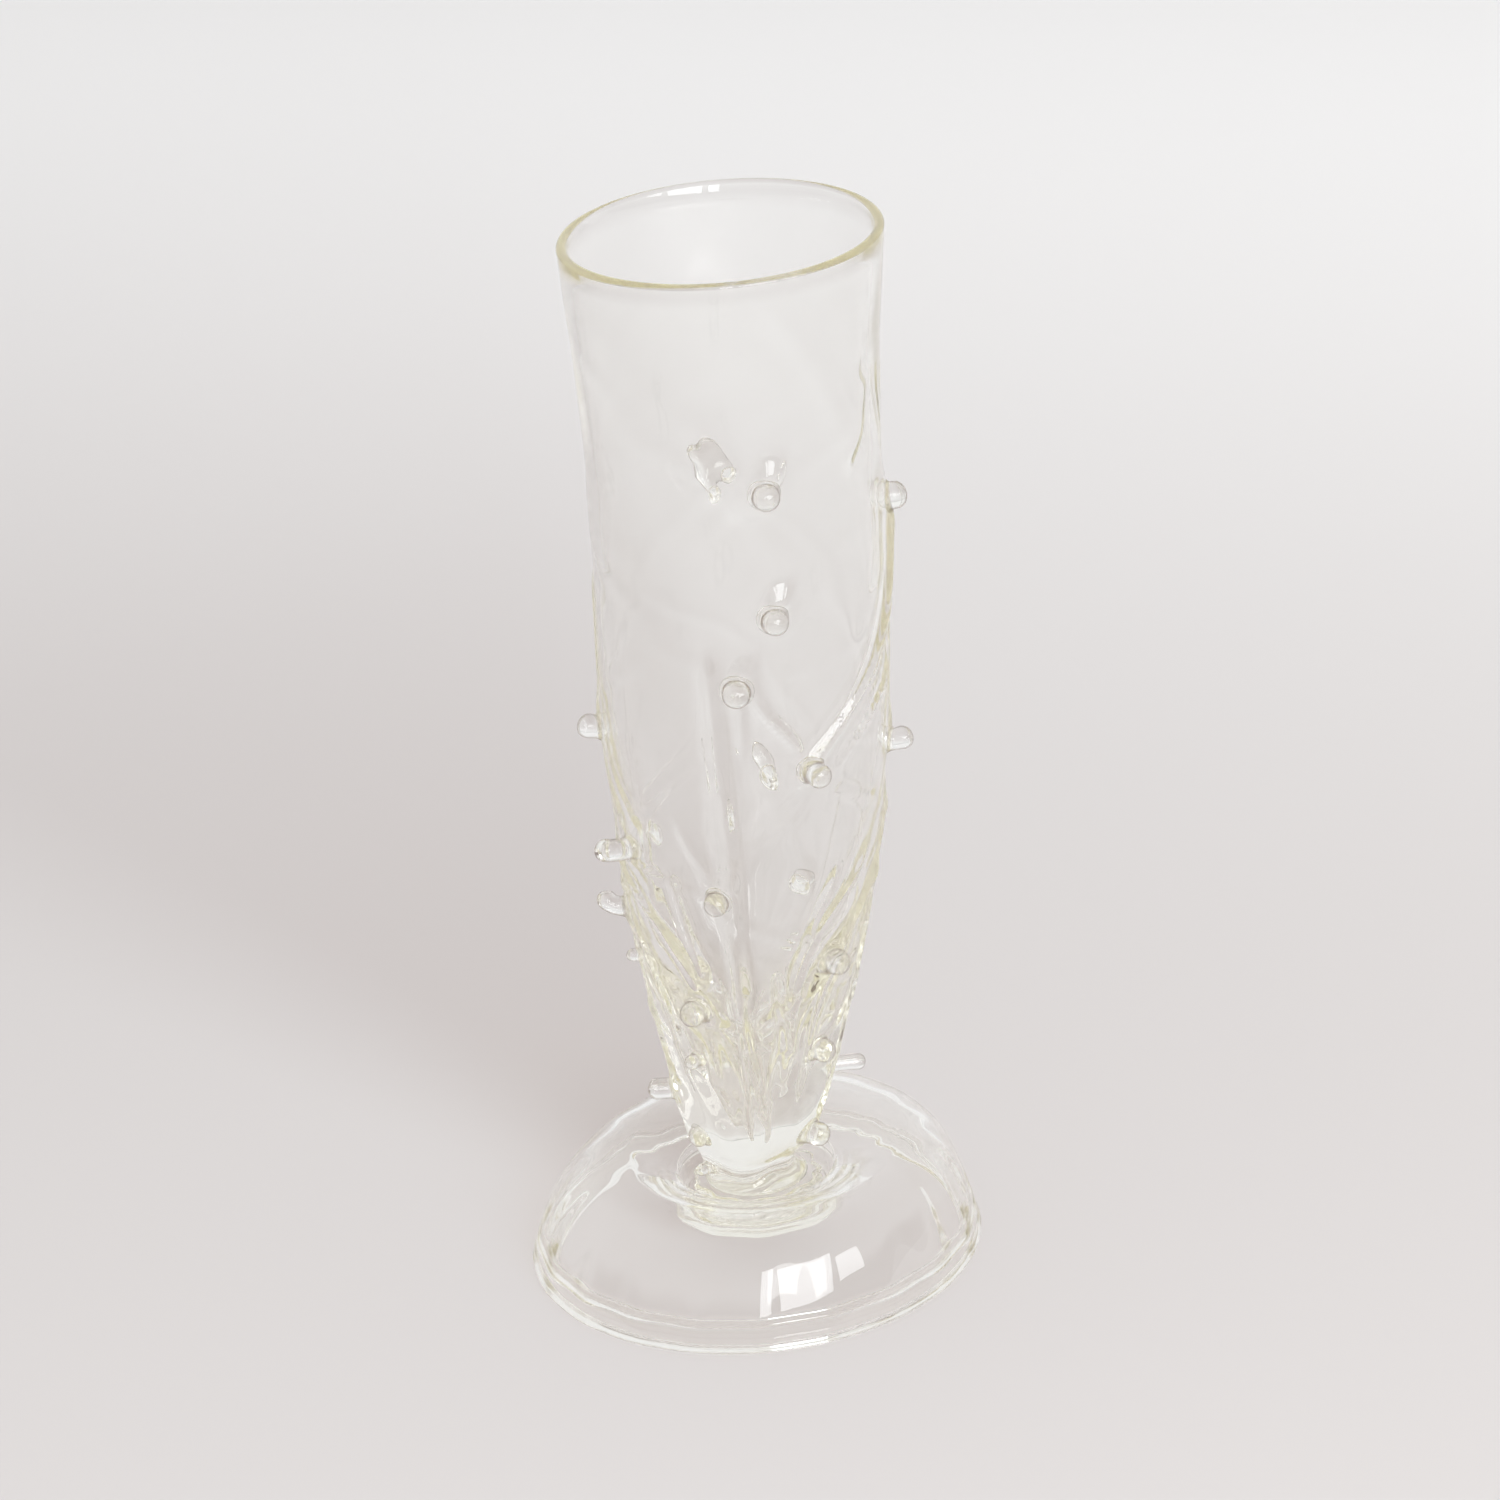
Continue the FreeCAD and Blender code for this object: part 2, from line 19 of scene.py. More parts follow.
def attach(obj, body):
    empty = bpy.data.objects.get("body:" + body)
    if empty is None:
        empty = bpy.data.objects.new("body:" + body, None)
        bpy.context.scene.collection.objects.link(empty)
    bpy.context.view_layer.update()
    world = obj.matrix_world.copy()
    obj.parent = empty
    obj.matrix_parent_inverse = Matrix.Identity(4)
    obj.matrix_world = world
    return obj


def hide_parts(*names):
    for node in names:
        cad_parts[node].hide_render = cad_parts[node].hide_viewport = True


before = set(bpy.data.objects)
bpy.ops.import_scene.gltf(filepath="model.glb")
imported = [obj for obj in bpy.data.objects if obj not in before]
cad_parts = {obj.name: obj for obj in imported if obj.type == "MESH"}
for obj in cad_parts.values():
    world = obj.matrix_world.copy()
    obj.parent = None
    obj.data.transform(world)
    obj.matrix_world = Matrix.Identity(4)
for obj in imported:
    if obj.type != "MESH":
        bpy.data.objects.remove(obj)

LOG = logging.getLogger("flute_glass")
MM = 0.001
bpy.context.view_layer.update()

Point = tuple[float, float, float, float]
Wave = tuple[float, float, float, float]
Feeds = dict[Union[str, int], object]


def eased(part: np.ndarray) -> np.ndarray:
    """Turn an even run from 0 to 1 into one with soft ends."""
    part = np.clip(part, 0.0, 1.0)
    return part * part * (3.0 - 2.0 * part)


def table_value(table: Sequence[tuple[float, ...]], column: int,
                share: np.ndarray) -> np.ndarray:
    """Read one column of a table at shares of the height.

    Args:
        table: Rows whose first entry is a share of the height, rising.
        column: Which entry of the rows to read.
        share: Where to read it.

    Returns:
        The values, straight between the rows.
    """
    rows = np.array(table, dtype=float)
    return np.interp(share, rows[:, 0], rows[:, column])


class Finish(Enum):
    """The glass of each sub-assembly, as the record's slots name it."""

    BOWL = "bowl_glass"
    COLLAR = "collar_glass"
    FOOT = "foot_glass"
    KNOB = "knob_glass"


@dataclass(frozen=True)
class GlassSizes:
    """The driving sizes of the glass in millimetres."""

    total_height: float = 200.0
    mouth_radius: float = 28.7
    lean_at_mouth: float = 9.4
    lip_thickness: float = 1.9
    wall_thickness: float = 1.5
    neck_radius: float = 7.8
    cavity_floor_height: float = 25.5
    foot_radius: float = 42.3
    foot_crown_height: float = 20.8
    foot_crown_radius: float = 25.5
    foot_crown_shift: float = 3.1
    foot_seat_height: float = 11.8
    foot_seat_radius: float = 12.7
    foot_wall: float = 2.0
    foot_hem_width: float = 6.4
    foot_hem_height: float = 4.4
    foot_rib_height: float = 0.42
    collar_radius: float = 11.7
    collar_height: float = 3.0
    collar_wave: float = 0.5
    knob_radius: float = 2.35
    knob_length: float = 4.6
    fused_overlap: float = 0.15


@dataclass(frozen=True)
class BowlLine:
    """The bowl's outer radius and centre line from neck to mouth."""

    sizes: GlassSizes
    shares: tuple[tuple[float, float, float], ...] = (
        (0.074, 0.345, 0.12), (0.078, 0.312, 0.09), (0.083, 0.286, 0.02),
        (0.089, 0.273, -0.05), (0.102, 0.313, -0.01), (0.120, 0.400, 0.08),
        (0.150, 0.462, 0.15), (0.200, 0.540, 0.25), (0.250, 0.618, 0.31),
        (0.300, 0.692, 0.38), (0.360, 0.774, 0.46), (0.425, 0.838, 0.57),
        (0.500, 0.888, 0.65), (0.600, 0.904, 0.74), (0.700, 0.906, 0.83),
        (0.800, 0.909, 0.89), (0.900, 0.940, 0.93), (1.000, 0.998, 1.00),
    )
    neck_slim_share: float = 0.089
    neck_top_share: float = 0.20
    neck_fade_share: float = 0.12
    smooth_steps: int = 13
    smooth_least_share: float = 0.010
    smooth_growth_share: float = 0.016
    smooth_from_share: float = 0.09
    smooth_run_share: float = 0.60

    def smooth(self, column: int, share: np.ndarray) -> np.ndarray:
        """Read the table through a short moving average, so it has no kinks.

        Args:
            column: Which entry of the table's rows to read.
            share: Shares of the height.

        Returns:
            The column's value at each share.
        """
        share = np.asarray(share, dtype=float)
        growth = eased((share - self.smooth_from_share) / self.smooth_run_share)
        reach = self.smooth_least_share + self.smooth_growth_share * growth
        steps = np.linspace(-1.0, 1.0, self.smooth_steps)
        weights = 1.0 + np.cos(math.pi * steps)
        near = [w * table_value(self.shares, column, share + reach * s)
                for s, w in zip(steps, weights)]
        return np.sum(near, axis=0) / weights.sum()

    def radius(self, share: np.ndarray) -> np.ndarray:
        """Return the plain outer radius in millimetres.

        Args:
            share: Shares of the height.

        Returns:
            One radius for each share.
        """
        slim = float(table_value(self.shares, 1, np.array(self.neck_slim_share)))
        neck = self.sizes.neck_radius - slim * self.sizes.mouth_radius
        fade = eased((self.neck_top_share - np.asarray(share)) / self.neck_fade_share)
        return self.smooth(1, share) * self.sizes.mouth_radius + neck * fade

    def centre(self, share: np.ndarray) -> np.ndarray:
        """Return the shift of the centre towards +X in millimetres."""
        return self.smooth(2, share) * self.sizes.lean_at_mouth

    def seat_shift(self) -> float:
        """Return the shift of the neck's end, the collar and the foot's seat."""
        return float(self.centre(np.array(self.shares[0][0])))


@dataclass(frozen=True)
class RibNetwork:
    """Ribs on the bowl, pinched together in rows into long diamonds."""

    line: BowlLine
    rib_count: int = 8
    rib_height: float = 1.80
    rib_width: float = 2.1
    rib_spread: float = 1.3
    spread_from_share: float = 0.50
    spread_run_share: float = 0.30
    first_rib_angle: float = -197.5
    path_top_share: float = 1.02
    path_low_share: float = 0.06
    crowding_limit: float = 1.9
    inner_net_share: float = 0.3
    strengths: tuple[tuple[float, float], ...] = (
        (0.078, 0.00), (0.120, 0.03), (0.240, 0.10), (0.340, 0.16),
        (0.440, 0.185), (0.540, 0.145), (0.640, 0.08), (0.740, 0.06),
        (0.850, 0.05), (0.960, 0.025), (1.000, 0.00),
    )
    flute_count: int = 7
    flute_width: float = 2.3
    flute_sway: float = 11.0
    flute_phase: float = 2.4
    flute_waves: float = 9.0
    flutes: tuple[tuple[float, float], ...] = (
        (0.080, 0.00), (0.120, 0.27), (0.200, 0.29), (0.320, 0.16),
        (0.440, 0.07), (0.600, 0.02), (1.000, 0.00),
    )
    nips: tuple[tuple[tuple[float, float], ...], ...] = (
        ((-175, 0.955), (-86, 0.948), (4, 0.950), (96, 0.950)),
        ((-131, 0.860), (-44, 0.842), (50, 0.850), (141, 0.858)),
        ((-174, 0.752), (-80, 0.800), (-2, 0.742), (97, 0.730)),
        ((-127, 0.668), (-38, 0.640), (48, 0.630), (139, 0.645)),
        ((-184, 0.548), (-93, 0.622), (0, 0.510), (82, 0.548)),
        ((-152, 0.440), (-65, 0.536), (54, 0.455), (141, 0.395)),
        ((-180, 0.362), (-105, 0.408), (2, 0.420), (81, 0.425)),
        ((-121, 0.292), (-50, 0.328), (58, 0.318), (137, 0.305)),
        ((-176, 0.262), (-92, 0.256), (0, 0.258), (96, 0.250)),
        ((-128, 0.226), (-49, 0.230), (40, 0.208), (132, 0.196)),
        ((-177, 0.172), (-90, 0.170), (10, 0.178), (100, 0.170)),
        ((-142, 0.130), (-38, 0.132), (52, 0.130), (141, 0.126)),
    )
    strand_fade: float = 0.040
    strand_bend: float = 0.012
    strand_steps: tuple[float, ...] = (-1.5, -0.5, 0.5, 1.5)
    strand_low_spread: float = 0.8
    strand_low_share: float = 0.28
    strand_low_run_share: float = 0.14
    wave_height: float = 0.10
    wave_low_share: float = 0.10
    wave_low_run_share: float = 0.20
    wave_top_run_share: float = 0.15
    waves: tuple[Wave, ...] = (
        (2.0, 9.0, 1.0, 1.0), (3.0, -14.0, -1.0, 0.8), (5.0, 21.0, 2.0, 0.6))
    outer_phase: float = 0.4
    inner_phase: float = 1.7
    neck_phase: float = 1.0
    neck_wave: float = 0.42
    neck_low_share: float = 0.080
    neck_low_run_share: float = 0.012
    neck_top_share: float = 0.165
    neck_top_run_share: float = 0.045
    neck_waves: tuple[Wave, ...] = ((5.0, 34.0, 0.0, 1.0), (3.0, -60.0, 1.0, 0.6))
    strands: tuple[tuple[float, float, tuple[tuple[float, float], ...]], ...] = (
        (0.80, 1.9, ((-3, 0.735), (-6, 0.670), (-28, 0.612), (-48, 0.575), (-72, 0.528))),
        (0.42, 0.9, ((-2, 0.600), (-20, 0.578), (-42, 0.545), (-62, 0.522))),
        (0.34, 1.7, ((0, 0.730), (0, 0.520))),
        (0.34, 1.7, ((-184, 0.690), (-184, 0.550))),
        (0.50, 0.8, ((-93, 0.606), (-93, 0.570))),
        (0.60, 0.9, ((-89, 0.614), (-80, 0.584), (-69, 0.555))),
        (0.75, 1.6, ((-105, 0.645), (-102, 0.536), (-98, 0.387), (-95, 0.300))),
        (0.42, 0.9, ((-104, 0.405), (-99, 0.345), (-98, 0.300), (-94, 0.240),
                     (-88, 0.190), (-82, 0.135))),
        (0.30, 1.2, ((-122, 0.485), (-107, 0.430))),
        (0.34, 1.2, ((-128, 0.430), (-121, 0.375), (-114, 0.325))),
        (0.50, 1.4, ((-172, 0.440), (-166, 0.412), (-140, 0.384), (-118, 0.320))),
        (0.42, 1.3, ((-172, 0.410), (-155, 0.341), (-142, 0.278), (-136, 0.215), (-112, 0.130))),
        (0.34, 1.5, ((-178, 0.370), (-176, 0.300), (-172, 0.222), (-160, 0.140))),
        (0.45, 1.4, ((-3, 0.465), (-22, 0.386), (-50, 0.317), (-60, 0.250), (-66, 0.140))),
        (0.36, 1.3, ((-30, 0.425), (-50, 0.386), (-66, 0.350), (-71, 0.290), (-76, 0.150))),
        (0.34, 1.1, ((-50, 0.425), (-62, 0.380), (-72, 0.314))),
        (0.46, 1.5, ((-22, 0.405), (-9, 0.303), (-2, 0.226), (-10, 0.154), (-36, 0.110))),
        (0.30, 1.3, ((-114, 0.265), (-108, 0.201), (-96, 0.130))),
        (0.34, 1.0, ((-79, 0.325), (-75, 0.272), (-66, 0.235))),
        (0.30, 1.7, ((152, 0.400), (144, 0.300), (132, 0.200), (112, 0.115))),
        (0.30, 1.7, ((34, 0.430), (44, 0.300), (58, 0.190), (78, 0.115))),
        (0.22, 1.7, ((102, 0.520), (97, 0.320), (88, 0.120))),
        (0.12, 3.0, ((-76, 0.977), (-57, 0.906), (-43, 0.831))),
        (0.10, 2.6, ((-104, 0.865), (-75, 0.735))),
        (0.10, 2.6, ((-72, 0.850), (-107, 0.755))),
        (0.42, 1.7, ((12, 0.850), (20, 0.800), (28, 0.755))),
    )

    def path(self, rib: int) -> tuple[np.ndarray, np.ndarray]:
        """Return the heights and angles that one rib passes through.

        Args:
            rib: The rib's number, counted round the bowl from the left.

        Returns:
            Shares of the height from low to high, and angles in degrees.
        """
        start = self.first_rib_angle + 360.0 * rib / self.rib_count
        points = [(self.path_top_share, start)]
        for row, nips in enumerate(self.nips):
            index = rib // 2 if row % 2 == 0 else (rib - 1) // 2
            turn = 360.0 * (index // 4)
            angle, share = nips[index % 4]
            points.append((share, angle + turn))
        points.append((self.path_low_share, start))
        points.reverse()
        table = np.array(points)
        return table[:, 0], table[:, 1]

    def angle(self, rib: int, share: np.ndarray) -> np.ndarray:
        """Return the angle of a rib in degrees at shares of the height.

        Args:
            rib: The rib's number, counted round the bowl from the left.
            share: Shares of the height.

        Returns:
            One angle for each share.
        """
        heights, angles = self.path(rib)
        step = np.clip(np.searchsorted(heights, share, side="right") - 1, 0, len(heights) - 2)
        part = (share - heights[step]) / (heights[step + 1] - heights[step])
        return angles[step] + (angles[step + 1] - angles[step]) * eased(part)

    def bump(self, angle: np.ndarray, centre: np.ndarray, radius: np.ndarray,
             width: np.ndarray) -> np.ndarray:
        """Return the rounded section of a rib, from 1 at its crest to 0.

        Args:
            angle: Angles in degrees.
            centre: The rib's own angle there.
            radius: Plain radius there in millimetres.
            width: How wide the rib is there in millimetres.

        Returns:
            Shares of the rib's height.
        """
        gap = (angle - centre + 180.0) % 360.0 - 180.0
        distance = np.radians(gap) * radius / width
        return np.exp(-distance * distance)

    def net(self, angle: np.ndarray, share: np.ndarray, radius: np.ndarray) -> np.ndarray:
        """Return the pinched net of ribs, as shares of the rib height.

        Args:
            angle: Angles in degrees.
            share: Shares of the height.
            radius: Plain radius there in millimetres.

        Returns:
            Shares, in the shape the three broadcast to.
        """
        strength = table_value(self.strengths, 1, share)
        spread = eased((share - self.spread_from_share) / self.spread_run_share)
        width = self.rib_width * (1.0 + self.rib_spread * spread)
        total = np.zeros(np.broadcast(angle, share).shape)
        for rib in range(self.rib_count):
            bump = self.bump(angle, self.angle(rib, share), radius, width)
            total = total + strength * bump
        return total

    def fluting(self, angle: np.ndarray, share: np.ndarray, radius: np.ndarray) -> np.ndarray:
        """Return the long flutes that run down to the cavity's floor.

        Args:
            angle: Angles in degrees.
            share: Shares of the height.
            radius: Plain radius there in millimetres.

        Returns:
            Shares of the rib height, in the shape the three broadcast to.
        """
        strength = table_value(self.flutes, 1, share)
        total = np.zeros(np.broadcast(angle, share).shape)
        for flute in range(self.flute_count):
            sway = self.flute_sway * np.sin(flute * self.flute_phase + share * self.flute_waves)
            centre = 360.0 * flute / self.flute_count + sway
            total = total + strength * self.bump(angle, centre, radius, self.flute_width)
        return total

    def stranding(self, angle: np.ndarray, share: np.ndarray, radius: np.ndarray) -> np.ndarray:
        """Return the bold single ribs, as shares of the rib height.

        Args:
            angle: Angles in degrees.
            share: Shares of the height.
            radius: Plain radius there in millimetres.

        Returns:
            Shares, in the shape the three broadcast to.
        """
        total = np.zeros(np.broadcast(angle, share).shape)
        for height, width, points in self.strands:
            low_to_high = np.array(points[::-1], dtype=float)
            heights, turns = low_to_high[:, 1], low_to_high[:, 0]
            centre = np.mean([np.interp(share + step * self.strand_bend, heights, turns)
                              for step in self.strand_steps], axis=0)
            below = eased((share - points[-1][1]) / self.strand_fade + 0.5)
            above = eased((points[0][1] - share) / self.strand_fade + 0.5)
            low = eased((self.strand_low_share - share) / self.strand_low_run_share)
            spread = 1.0 + self.strand_low_spread * low
            bump = self.bump(angle, centre, radius, width * spread)
            total = total + height * below * above * bump
        return total

    def wavy(self, waves: tuple[Wave, ...], angle: np.ndarray, share: np.ndarray,
             phase: float) -> np.ndarray:
        """Add up waves that run round and up the bowl.

        Args:
            waves: How often each goes round, how fast it climbs, its share of
                the phase and its height.
            angle: Angles in degrees.
            share: Shares of the height.
            phase: What makes one wall's waves unlike the other's.

        Returns:
            The sum of the waves.
        """
        turn = np.radians(angle)
        return sum(height * np.sin(around * turn + climb * share + part * phase)
                   for around, climb, part, height in waves)

    def unevenness(self, angle: np.ndarray, share: np.ndarray, phase: float) -> np.ndarray:
        """Return the slow waves that a hand-worked wall keeps, in millimetres.

        Args:
            angle: Angles in degrees.
            share: Shares of the height.
            phase: What makes one wall's waves unlike the other's.

        Returns:
            Heights, in the shape the first two broadcast to.
        """
        waves = self.wavy(self.waves, angle, share, phase)
        low = eased((share - self.wave_low_share) / self.wave_low_run_share)
        return self.wave_height * waves * low * eased((1.0 - share) / self.wave_top_run_share)

    def neck_lumps(self, angle: np.ndarray, share: np.ndarray) -> np.ndarray:
        """Return the soft lumps on the neck, in millimetres.

        Args:
            angle: Angles in degrees.
            share: Shares of the height.

        Returns:
            Heights, in the shape the two broadcast to.
        """
        low = eased((share - self.neck_low_share) / self.neck_low_run_share)
        here = low * eased((self.neck_top_share - share) / self.neck_top_run_share)
        lumps = self.wavy(self.neck_waves, angle, share, self.neck_phase)
        return self.neck_wave * lumps * here

    def relief(self, angle: np.ndarray, share: np.ndarray, radius: np.ndarray) -> np.ndarray:
        """Return how far the outside stands out of the plain bowl.

        Args:
            angle: Angles in degrees.
            share: Shares of the height.
            radius: Plain radius there in millimetres.

        Returns:
            Heights in millimetres, in the shape the three broadcast to.
        """
        total = self.net(angle, share, radius) + self.stranding(angle, share, radius)
        slow = self.unevenness(angle, share, self.outer_phase) + self.neck_lumps(angle, share)
        return self.rib_height * np.minimum(total, self.crowding_limit) + slow

    def inner_relief(self, angle: np.ndarray, share: np.ndarray, radius: np.ndarray) -> np.ndarray:
        """Return how far the cavity's wall follows the ribs, in millimetres.

        Args:
            angle: Angles in degrees.
            share: Shares of the height.
            radius: Plain radius there in millimetres.

        Returns:
            Heights, in the shape the three broadcast to.
        """
        total = self.inner_net_share * self.net(angle, share, radius)
        total = total + self.fluting(angle, share, radius)
        return self.rib_height * total + self.unevenness(angle, share, self.inner_phase)


@dataclass(frozen=True)
class Knob:
    """One drawn knob: its node's name, place, size, lean and fin above it."""

    name: str
    angle: float
    share: float
    size: float
    length: float
    lean_up: float
    lean_round: float
    fin: float = 0.0


KNOBS = (
    Knob("knob_shoulder_front", -80, 0.803, 1.10, 0.95, 5, 0, 1.0),
    Knob("knob_shoulder_right", -3, 0.743, 1.14, 0.80, 4, 0),
    Knob("knob_shoulder_back", 96, 0.708, 0.95, 2.20, 50, 48),
    Knob("knob_upper_front", -79, 0.686, 1.08, 0.96, 5, 0, 1.0),
    Knob("knob_middle_front", -94, 0.622, 1.14, 0.92, 10, 0, 0.6),
    Knob("knob_middle_left", 176, 0.538, 1.02, 0.92, 10, 0),
    Knob("knob_middle_right", -2, 0.506, 0.96, 1.02, 8, 0),
    Knob("knob_middle_front_right", -66, 0.536, 1.00, 1.00, 0, 0),
    Knob("knob_middle_back", 77, 0.422, 0.92, 1.70, 44, 48),
    Knob("knob_waist_front_left", -150, 0.449, 0.96, 1.60, 14, 0),
    Knob("knob_waist_left", -180, 0.361, 0.84, 1.10, 36, 0),
    Knob("knob_waist_back_left", 140, 0.393, 0.85, 0.90, 30, 10),
    Knob("knob_waist_front", -105, 0.416, 0.98, 0.95, 5, 0, 0.5),
    Knob("knob_waist_back_right", 62, 0.320, 0.60, 0.70, 20, 0),
    Knob("knob_lower_front_right", -50, 0.329, 1.08, 0.90, 12, 0),
    Knob("knob_lower_left", -173, 0.316, 0.54, 0.52, 15, 0),
    Knob("knob_lower_front_left", -121, 0.291, 1.08, 0.88, 8, 0),
    Knob("knob_lower_back_right", 56, 0.258, 0.60, 0.75, 20, 0),
    Knob("knob_base_front_right", -48, 0.231, 1.00, 0.80, 5, 0),
    Knob("knob_base_front_left", -127, 0.233, 0.62, 0.70, 10, 0),
    Knob("knob_base_right", 28, 0.204, 0.72, 0.80, 15, 0),
    Knob("knob_base_back_left", 132, 0.182, 0.78, 0.80, 20, 0),
    Knob("knob_base_back_right", 10, 0.172, 0.70, 1.55, -4, 0),
    Knob("knob_base_left", -176, 0.172, 0.92, 1.05, 5, 0),
    Knob("knob_base_back", 101, 0.186, 0.60, 0.70, 20, 0),
    Knob("knob_neck_right", -36, 0.131, 1.02, 0.95, 0, 0),
    Knob("knob_neck_front_left", -141, 0.138, 0.92, 0.55, 0, 0),
    Knob("knob_neck_left", -146, 0.095, 0.50, 0.72, 10, 0),
)


@dataclass(frozen=True)
class Mounds:
    """The soft mound that each knob was drawn out of, and the fin above some.

    A mound is wider than its knob and reaches further up than down. A fin
    runs down from the top of the knob to the wall and leans a little to the
    right.
    """

    sizes: GlassSizes
    knobs: tuple[Knob, ...] = KNOBS
    height: float = 0.42
    width: float = 1.75
    reach_up: float = 2.0
    reach_down: float = 1.35
    fin_height: float = 1.35
    fin_width: float = 0.82
    fin_start: float = 1.15
    fin_end: float = 2.75
    fin_lean: float = 0.40

    def relief(self, angle: np.ndarray, share: np.ndarray, radius: np.ndarray) -> np.ndarray:
        """Return how far the mounds stand out of the bowl.

        Args:
            angle: Angles in degrees.
            share: Shares of the height.
            radius: Plain radius there in millimetres.

        Returns:
            Heights in millimetres, in the shape the three broadcast to.
        """
        total = np.zeros(np.broadcast(angle, share).shape)
        for knob in self.knobs:
            size = self.sizes.knob_radius * knob.size
            gap = (angle - knob.angle + 180.0) % 360.0 - 180.0
            across = np.radians(gap) * radius / size
            along = (share - knob.share) * self.sizes.total_height / size
            reach = np.where(along > 0.0, self.reach_up, self.reach_down)
            mound = np.exp(-(across / self.width) ** 2 - (along / reach) ** 2)
            side = (across - self.fin_lean * along) / self.fin_width
            run = (self.fin_end - along) / (self.fin_end - self.fin_start)
            fin = np.clip(run, 0.0, 1.0) * eased(along / self.fin_start) * np.exp(-side ** 4)
            total = total + knob.size * (self.height * mound + self.fin_height * knob.fin * fin)
        return total


def ring_mesh(name: str, points: np.ndarray) -> bpy.types.Mesh:
    """Make a closed mesh from rings of points, with a pole at each end.

    Args:
        name: The mesh's name.
        points: Rings by points by three coordinates in millimetres.

    Returns:
        A smooth mesh in metres whose faces look outwards.
    """
    rings, around = points.shape[:2]
    poles = np.stack([points[0].mean(axis=0), points[-1].mean(axis=0)])
    vertices = np.concatenate([points.reshape(-1, 3), poles]) * MM
    low = np.arange(rings - 1)[:, None] * around + np.arange(around)[None, :]
    nxt = np.arange(rings - 1)[:, None] * around + (np.arange(around)[None, :] + 1) % around
    quads = np.stack([low, nxt, nxt + around, low + around], axis=-1).reshape(-1, 4)
    faces = quads.tolist()
    last = (rings - 1) * around
    for step in range(around):
        after = (step + 1) % around
        faces.append([rings * around, after, step])
        faces.append([rings * around + 1, last + step, last + after])
    mesh = bpy.data.meshes.new(name)
    mesh.from_pydata(vertices.tolist(), [], faces)
    mesh.validate()
    mesh.shade_smooth()
    return mesh


def place(name: str, data: bpy.types.ID) -> bpy.types.Object:
    """Put a mesh, curve, lamp or camera in the scene as an object at the origin.

    Args:
        name: The object's name.
        data: What it shows.

    Returns:
        The new object.
    """
    piece = bpy.data.objects.new(name, data)
    bpy.context.scene.collection.objects.link(piece)
    return piece


class Graph:
    """A small helper that builds one node tree by name."""

    def __init__(self, tree: bpy.types.NodeTree) -> None:
        """Start on a tree."""
        self.tree = tree

    def node(self, kind: str, feeds: Optional[Feeds] = None, **values: object) -> bpy.types.Node:
        """Add a node, set its properties and feed its inputs.

        Args:
            kind: Blender's name of the node's type.
            feeds: A socket or value for each input, by name or number.
            **values: Properties to set on it.

        Returns:
            The new node.
        """
        made = self.tree.nodes.new(kind)
        for key, value in values.items():
            setattr(made, key, value)
        for key, value in (feeds or {}).items():
            self.feed(made.inputs[key], value)
        return made

    def feed(self, socket: bpy.types.NodeSocket, value: object) -> None:
        """Link a socket to another, or set its value.

        Args:
            socket: The input to feed.
            value: A socket or a plain value.
        """
        if isinstance(value, bpy.types.NodeSocket):
            self.tree.links.new(value, socket)
        else:
            socket.default_value = value

    def math(self, operation: str, *values: object) -> bpy.types.NodeSocket:
        """Add a Math node and return its result."""
        return self.node("ShaderNodeMath", dict(enumerate(values)), operation=operation).outputs[0]

    def times(self, first: object, *others: object) -> bpy.types.NodeSocket:
        """Multiply values from left to right and return the product.

        Args:
            first: A socket or value.
            *others: What it is multiplied by.

        Returns:
            The product, or the first value where it stands alone.
        """
        for value in others:
            first = self.math("MULTIPLY", first, value)
        return first

    def vector(self, operation: str, *values: object) -> bpy.types.NodeSocket:
        """Add a Vector Math node and return its result.

        Args:
            operation: What the node does.
            *values: A socket or value for each input.

        Returns:
            The result.
        """
        second = "Scale" if operation == "SCALE" else 1
        made = self.node("ShaderNodeVectorMath", dict(zip((0, second), values)),
                         operation=operation)
        return made.outputs["Value" if operation == "DOT_PRODUCT" else "Vector"]

    def combine(self, *values: object) -> bpy.types.NodeSocket:
        """Add a Combine XYZ node and return its vector."""
        return self.node("ShaderNodeCombineXYZ", dict(enumerate(values))).outputs[0]

    def split(self, value: bpy.types.NodeSocket) -> bpy.types.NodeOutputs:
        """Add a Separate XYZ node and return its three outputs."""
        return self.node("ShaderNodeSeparateXYZ", {0: value}).outputs

    def ramp(self, value: bpy.types.NodeSocket, start: float, end: float) -> bpy.types.NodeSocket:
        """Turn a value into a soft run from 0 at the start to 1 at the end.

        Args:
            value: What is read.
            start: Where it gives 0.
            end: Where it gives 1.

        Returns:
            The run.
        """
        made = self.node("ShaderNodeMapRange", {
            "Value": value, "From Min": start, "From Max": end}, interpolation_type="SMOOTHSTEP")
        return made.outputs[0]

    def blend(self, share: bpy.types.NodeSocket, first: object, second: object,
              how: str = "MIX") -> bpy.types.NodeSocket:
        """Mix two colours and return the result.

        Args:
            share: How much of the second colour there is.
            first: A colour socket or three values.
            second: A colour socket or three values.
            how: The kind of mix.

        Returns:
            The mixed colour.
        """
        made = self.node("ShaderNodeMix", {0: share}, data_type="RGBA", blend_type=how)
        for number, colour in ((6, first), (7, second)):
            solid = isinstance(colour, tuple)
            self.feed(made.inputs[number], (*colour, 1.0) if solid else colour)
        return made.outputs[2]


